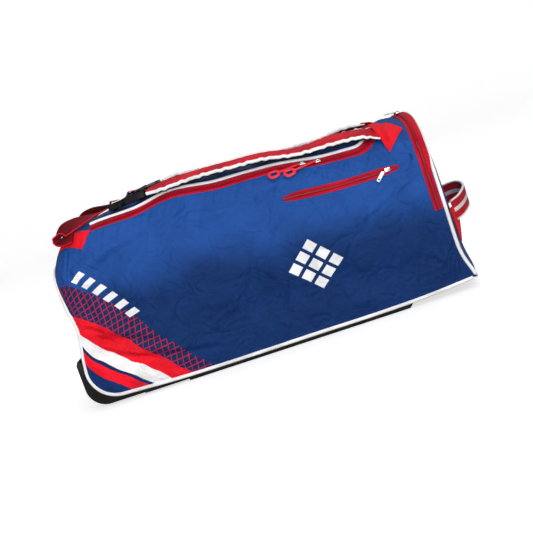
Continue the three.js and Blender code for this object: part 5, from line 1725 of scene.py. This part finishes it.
# %% Fit the grab handle
HANDLE = {"half": 0.019, "thick": 0.004, "binding": 0.003}
# columns: y, z, how far it stands off the end
HANDLE_ROUTE = (
    (-0.130, 0.164, 0.0),
    (-0.112, 0.168, 0.016),
    (-0.062, 0.176, 0.036),
    (0.0, 0.178, 0.042),
    (0.062, 0.176, 0.036),
    (0.112, 0.168, 0.016),
    (0.130, 0.164, 0.0),
)
# corners go round: y, z
ANCHOR = np.array(((-0.140, 0.098), (-0.116, 0.098), (-0.108, 0.174), (-0.152, 0.174)))
ANCHOR_FLAT, ANCHOR_AREA, ANCHOR_GRID = (0.044, 0.076), 0.0026, (24, 36)
ANCHOR_TOP, ANCHOR_STAND, HANDLE_LOW = 0.0034, 0.0120, 0.0062
HANDLE_EDGE = {"wider": 0.0004, "half_height": 0.0026}


def anchor(name, side):
    a, b, c, d = ANCHOR
    piece, u, v = cut_grid(name, *ANCHOR_GRID)
    share = (u if side > 0 else 1 - u)[:, None]
    y, z = mix(mix(a, b, share), mix(d, c, share), v[:, None]).T
    y = side * y
    stand = ANCHOR_TOP + ANCHOR_STAND * share[:, 0] * np.sin(np.pi / 2 * v)
    set_points(piece, end_point(PULL_END, y, z, stand), (y, z))
    apply_modifier(piece, "SOLIDIFY", thickness=PATCH_THICK, offset=-1)
    smooth(piece)
    return piece


y, z, stand = np.array(HANDLE_ROUTE).T
handle_points = end_point(PULL_END, y, z, HANDLE_LOW + stand)
handle_route = frames(handle_points, np.tile((0.0, 0.0, 1.0), (len(y), 1)), 120)
section = ellipse(HANDLE["half"], HANDLE["thick"] / 2, 26, 0, HANDLE["thick"] / 2, 0.35)
dress(along(handle_route, section, "grab_handle"), handle_webbing, "red_webbing", "end_handle")
edge_at = HANDLE["half"] + HANDLE_EDGE["wider"] + HANDLE["binding"] / 2
edge_half = HANDLE["binding"] / 2 + HANDLE_EDGE["wider"]
for name, side in (("upper", 1), ("lower", -1)):
    middle = (side * edge_at, HANDLE["thick"] / 2)
    section = ellipse(edge_half, HANDLE_EDGE["half_height"], 14, *middle, 0.75)
    piece = along(handle_route, section, f"grab_handle_edge_{name}")
    dress(piece, white_trim, "white_trim", f"end_handle_binding_{name}")
for place, side in (("front", 1), ("back", -1)):
    dress(anchor(f"handle_anchor_{place}", side), patch_cloth, "red_webbing", f"end_handle_anchor_{place}")
print("handle", round(run_length(handle_route[0])[-1], 3))

# %% [markdown]
# ## Running gear
# The corner housings and the rails are mouldings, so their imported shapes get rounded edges. A wheel is a
# tyre on a hub: a ring of points is set to the profile of each one, and Spin carries it round the axle. A
# wedge leads each rail up to its housing.

# %% Turn the wheels and round the mouldings
TYRE = ((0.0244, -0.0105), (0.0300, -0.0122), (0.0345, -0.0118), (0.0364, -0.0092), (0.0370, -0.0060),
        (0.0370, -0.0022), (0.0358, -0.0012), (0.0358, 0.0012), (0.0370, 0.0022), (0.0370, 0.0060),
        (0.0364, 0.0092), (0.0345, 0.0118), (0.0300, 0.0122), (0.0244, 0.0105))
HUB = ((0.0044, -0.0125), (0.0105, -0.0125), (0.0120, -0.0112), (0.0125, -0.0070), (0.0195, -0.0066),
       (0.0205, -0.0098), (0.0236, -0.0100), (0.0236, 0.0100), (0.0205, 0.0098), (0.0195, 0.0066),
       (0.0125, 0.0070), (0.0120, 0.0112), (0.0105, 0.0125), (0.0044, 0.0125))

RIBS = {"count": 6, "inner": 0.0110, "outer": 0.0205, "sideways": 0.0082, "radius": 0.0018}


def turned(name, profile, centre, steps=72):
    """A closed profile of (radius, sideways) spun round an axle along Y."""
    bpy.ops.object.select_all(action="DESELECT")
    bpy.ops.mesh.primitive_circle_add(vertices=len(profile), radius=1)
    piece = new_piece(name)
    points = [centre + np.array((radius, sideways, 0)) for radius, sideways in profile]
    piece.data.vertices.foreach_set("co", np.ravel(points))
    piece.data.update()
    turn = {"steps": steps, "angle": math.tau, "center": tuple(centre), "axis": (0, 1, 0)}
    edit(piece, lambda: bpy.ops.mesh.spin(**turn), face_all, merge_points, face_out)
    smooth(piece, 30)
    return piece


def face_all():
    bpy.ops.mesh.select_all(action="SELECT")


def spokes(name, centre):
    """Ribs between the hub's boss and its rim, on both faces."""
    ribs = []
    for k in range(RIBS["count"]):
        turn = 2 * math.pi * k / RIBS["count"]
        for sideways in (-RIBS["sideways"], RIBS["sideways"]):
            reach = np.linspace(RIBS["inner"], RIBS["outer"], 6)
            line = [centre + np.array((r * math.cos(turn), sideways, r * math.sin(turn))) for r in reach]
            ribs.append(tube(f"{name}_{len(ribs)}", np.array(line), RIBS["radius"]))
    piece = join(name, *ribs)
    smooth(piece)
    return piece


MOULDING_BEVEL = 0.0022
NOSE = {"under": 0.006, "back": 0.046, "gap": 0.001, "narrower": 0.001, "bevel": 0.0016}


def rail_nose(name, place):
    """The wedge that leads a rail up to its housing: a cube whose top face is tilted."""
    low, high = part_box(f"skid_rail_{place}")
    ends = np.array((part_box(f"wheel_housing_{place}")[1].x - NOSE["back"], low.x + NOSE["under"]))
    tops = np.interp(ends - BAG_ORIGIN[0], *np.array(BASE_LINE).T) - NOSE["gap"]
    middle = (ends.mean(), (low.y + high.y) / 2, (low.z + tops[1]) / 2)
    bpy.ops.object.select_all(action="DESELECT")
    bpy.ops.mesh.primitive_cube_add(size=1, location=middle)
    piece = new_piece(name)
    piece.scale = (ends[1] - ends[0], high.y - low.y - NOSE["narrower"], tops[1] - low.z)
    bpy.ops.object.transform_apply(location=True, rotation=True, scale=True)
    for vertex in piece.data.vertices:
        vertex.select = bool(vertex.co.x < middle[0] and vertex.co.z > middle[2])
    bpy.ops.object.mode_set(mode="EDIT")
    bpy.ops.transform.translate(value=(0, 0, tops[0] - tops[1]))
    bpy.ops.mesh.select_all(action="SELECT")
    bpy.ops.mesh.bevel(offset=NOSE["bevel"], segments=3)
    bpy.ops.object.mode_set(mode="OBJECT")
    smooth(piece)
    return piece


for place, side in (("front", -1), ("back", 1)):
    body = f"wheel_{place}"
    dress(rail_nose(f"rail_nose_{place}", place), black_matte, "black_plastic")
    centre = BAG_ORIGIN + np.array((WHEEL_X, side * WHEEL_Y, WHEEL_RADIUS))
    tyre = turned(f"tyre_{place}", TYRE, centre)
    hub = turned(f"hub_{place}", HUB, centre)
    dress(tyre, tyre_rubber, "tyre_rubber", f"wheel_tyre_{place}", body=body)
    dress(hub, hub_plastic, "black_plastic", f"wheel_hub_{place}", body=body)
    dress(spokes(f"hub_ribs_{place}", centre), hub_plastic, "black_plastic", body=body)
    for node in (f"wheel_housing_{place}", f"skid_rail_{place}"):
        dress(copy_solid(node, f"{node}_moulding", MOULDING_BEVEL), black_matte, "black_plastic", node)
    for material_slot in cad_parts[f"wheel_axle_{place}"].material_slots:
        material_slot.material = steel
print("wheels at x", WHEEL_X)

# %% [markdown]
# ## Stitches
# Thread is what makes sewn pieces look sewn. One stitch is a small stretched ball. Rows of them are
# placed along lines on the cloth with numpy and become one mesh for each thread, which stays light.

# %% Sew rows of stitches
STITCH = {"pitch": 0.0046, "half": 0.0016, "radius": 0.00038}
# how far each row of stitches lies from its seam or from the middle of its strap
BESIDE = {"yoke": 0.0030, "base": 0.0085, "lid": 0.0078, "end": 0.0068, "pocket": 0.0072}
BESIDE.update({"strap": 0.0165, "handle": 0.0150})
PATCH_HEM, ON_CLOTH, ON_POCKET_TAPE = 0.86, 0.0001, 0.0008


def stitch_shape():
    bpy.ops.object.select_all(action="DESELECT")
    bpy.ops.mesh.primitive_uv_sphere_add(segments=6, ring_count=4, radius=1)
    shape = bpy.context.object
    points = np.array([vertex.co for vertex in shape.data.vertices])
    faces = [tuple(face.vertices) for face in shape.data.polygons]
    bpy.data.objects.remove(shape)
    return points, faces


STITCH_POINTS, STITCH_FACES = stitch_shape()


def skin_row(path, height):
    """A row of stitches along places on the skin: points and the directions out of it."""
    even = even_path(path, STITCH["pitch"])
    return lay(even[:, 0], even[:, 1], height), sample(skin_normals, even[:, 0], even[:, 1])


def free_row(route, sideways, outwards):
    """A row of stitches along a strap."""
    at, across, up = route
    line = at + across * sideways + up * outwards
    run = run_length(line)
    even = np.linspace(0, run[-1], int(run[-1] / STITCH["pitch"]) + 1)
    points = np.stack([np.interp(even, run, column) for column in line.T], -1)
    return points, np.stack([np.interp(even, run, column) for column in up.T], -1)


def sew(name, rows, material, slot):
    points, faces = [], []
    for line, normals in rows:
        run = np.gradient(line, axis=0)
        run /= np.linalg.norm(run, axis=1, keepdims=True)
        side = np.cross(normals, run)
        for k in range(len(line)):
            first = len(points) * len(STITCH_POINTS)
            thin = STITCH["radius"]
            axes = np.stack([run[k] * STITCH["half"], side[k] * thin, normals[k] * thin])
            points.append(line[k] + STITCH_POINTS @ axes)
            faces.extend(tuple(first + index for index in face) for face in STITCH_FACES)
    mesh = bpy.data.meshes.new(name)
    mesh.from_pydata(np.concatenate(points).tolist(), [], faces)
    piece = bpy.data.objects.new(name, mesh)
    bpy.context.collection.objects.link(piece)
    smooth(piece, 180)
    dress(piece, material, slot)
    return len(points)


def beside(path, distance):
    return path + left_of(path) * distance


def patch_rows(corners, lift):
    middle = corners.mean(0)
    ring = middle + (corners - middle) * PATCH_HEM
    line = even_path(np.concatenate([ring, ring[:1]]), STITCH["pitch"])
    height = PATCH_TOP + 0.0002
    if lift is not None:
        height = height + lift(line[:, 0], line[:, 1])
    return lay(line[:, 0], line[:, 1], height), sample(skin_normals, line[:, 0], line[:, 1])


def both_sides(x, q):
    """The same straight row of stitches on the front and on the back."""
    return [skin_row(np.c_[x, np.full(len(x), side * q)], ON_CLOTH) for side in (-1, 1)]


blue_rows = both_sides(np.linspace(LID_START, LID_TURN_X, 200), SIDE_TOP + BESIDE["yoke"])
blue_rows += both_sides(np.linspace(BASE_STOP, CORNER_X, 200), EDGE - BESIDE["base"])
red_rows = [skin_row(beside(LID_LINE, sign * BESIDE["lid"]), -0.0006) for sign in (-1, 1)]
red_rows += [skin_row(beside(end_line, BESIDE["end"]), end_top + 0.0003)]
pocket_middle = pocket_line[8:-8]
pocket_top = POCKET_LOW + ON_POCKET_TAPE
red_rows += [skin_row(beside(pocket_middle, sign * BESIDE["pocket"]), pocket_top) for sign in (-1, 1)]
red_rows += [patch_rows(corners, lift) for corners, lift in PATCHES]
for route in strap_routes.values():
    red_rows += [free_row(route, sign * BESIDE["strap"], STRAP["thick"] / 2) for sign in (-1, 1)]
red_rows += [free_row(handle_route, sign * BESIDE["handle"], HANDLE["thick"]) for sign in (-1, 1)]
count = sew("blue_stitches", blue_rows, blue_thread, "blue_cloth")
count += sew("red_stitches", red_rows, red_thread, "red_webbing")
print("stitches", count)
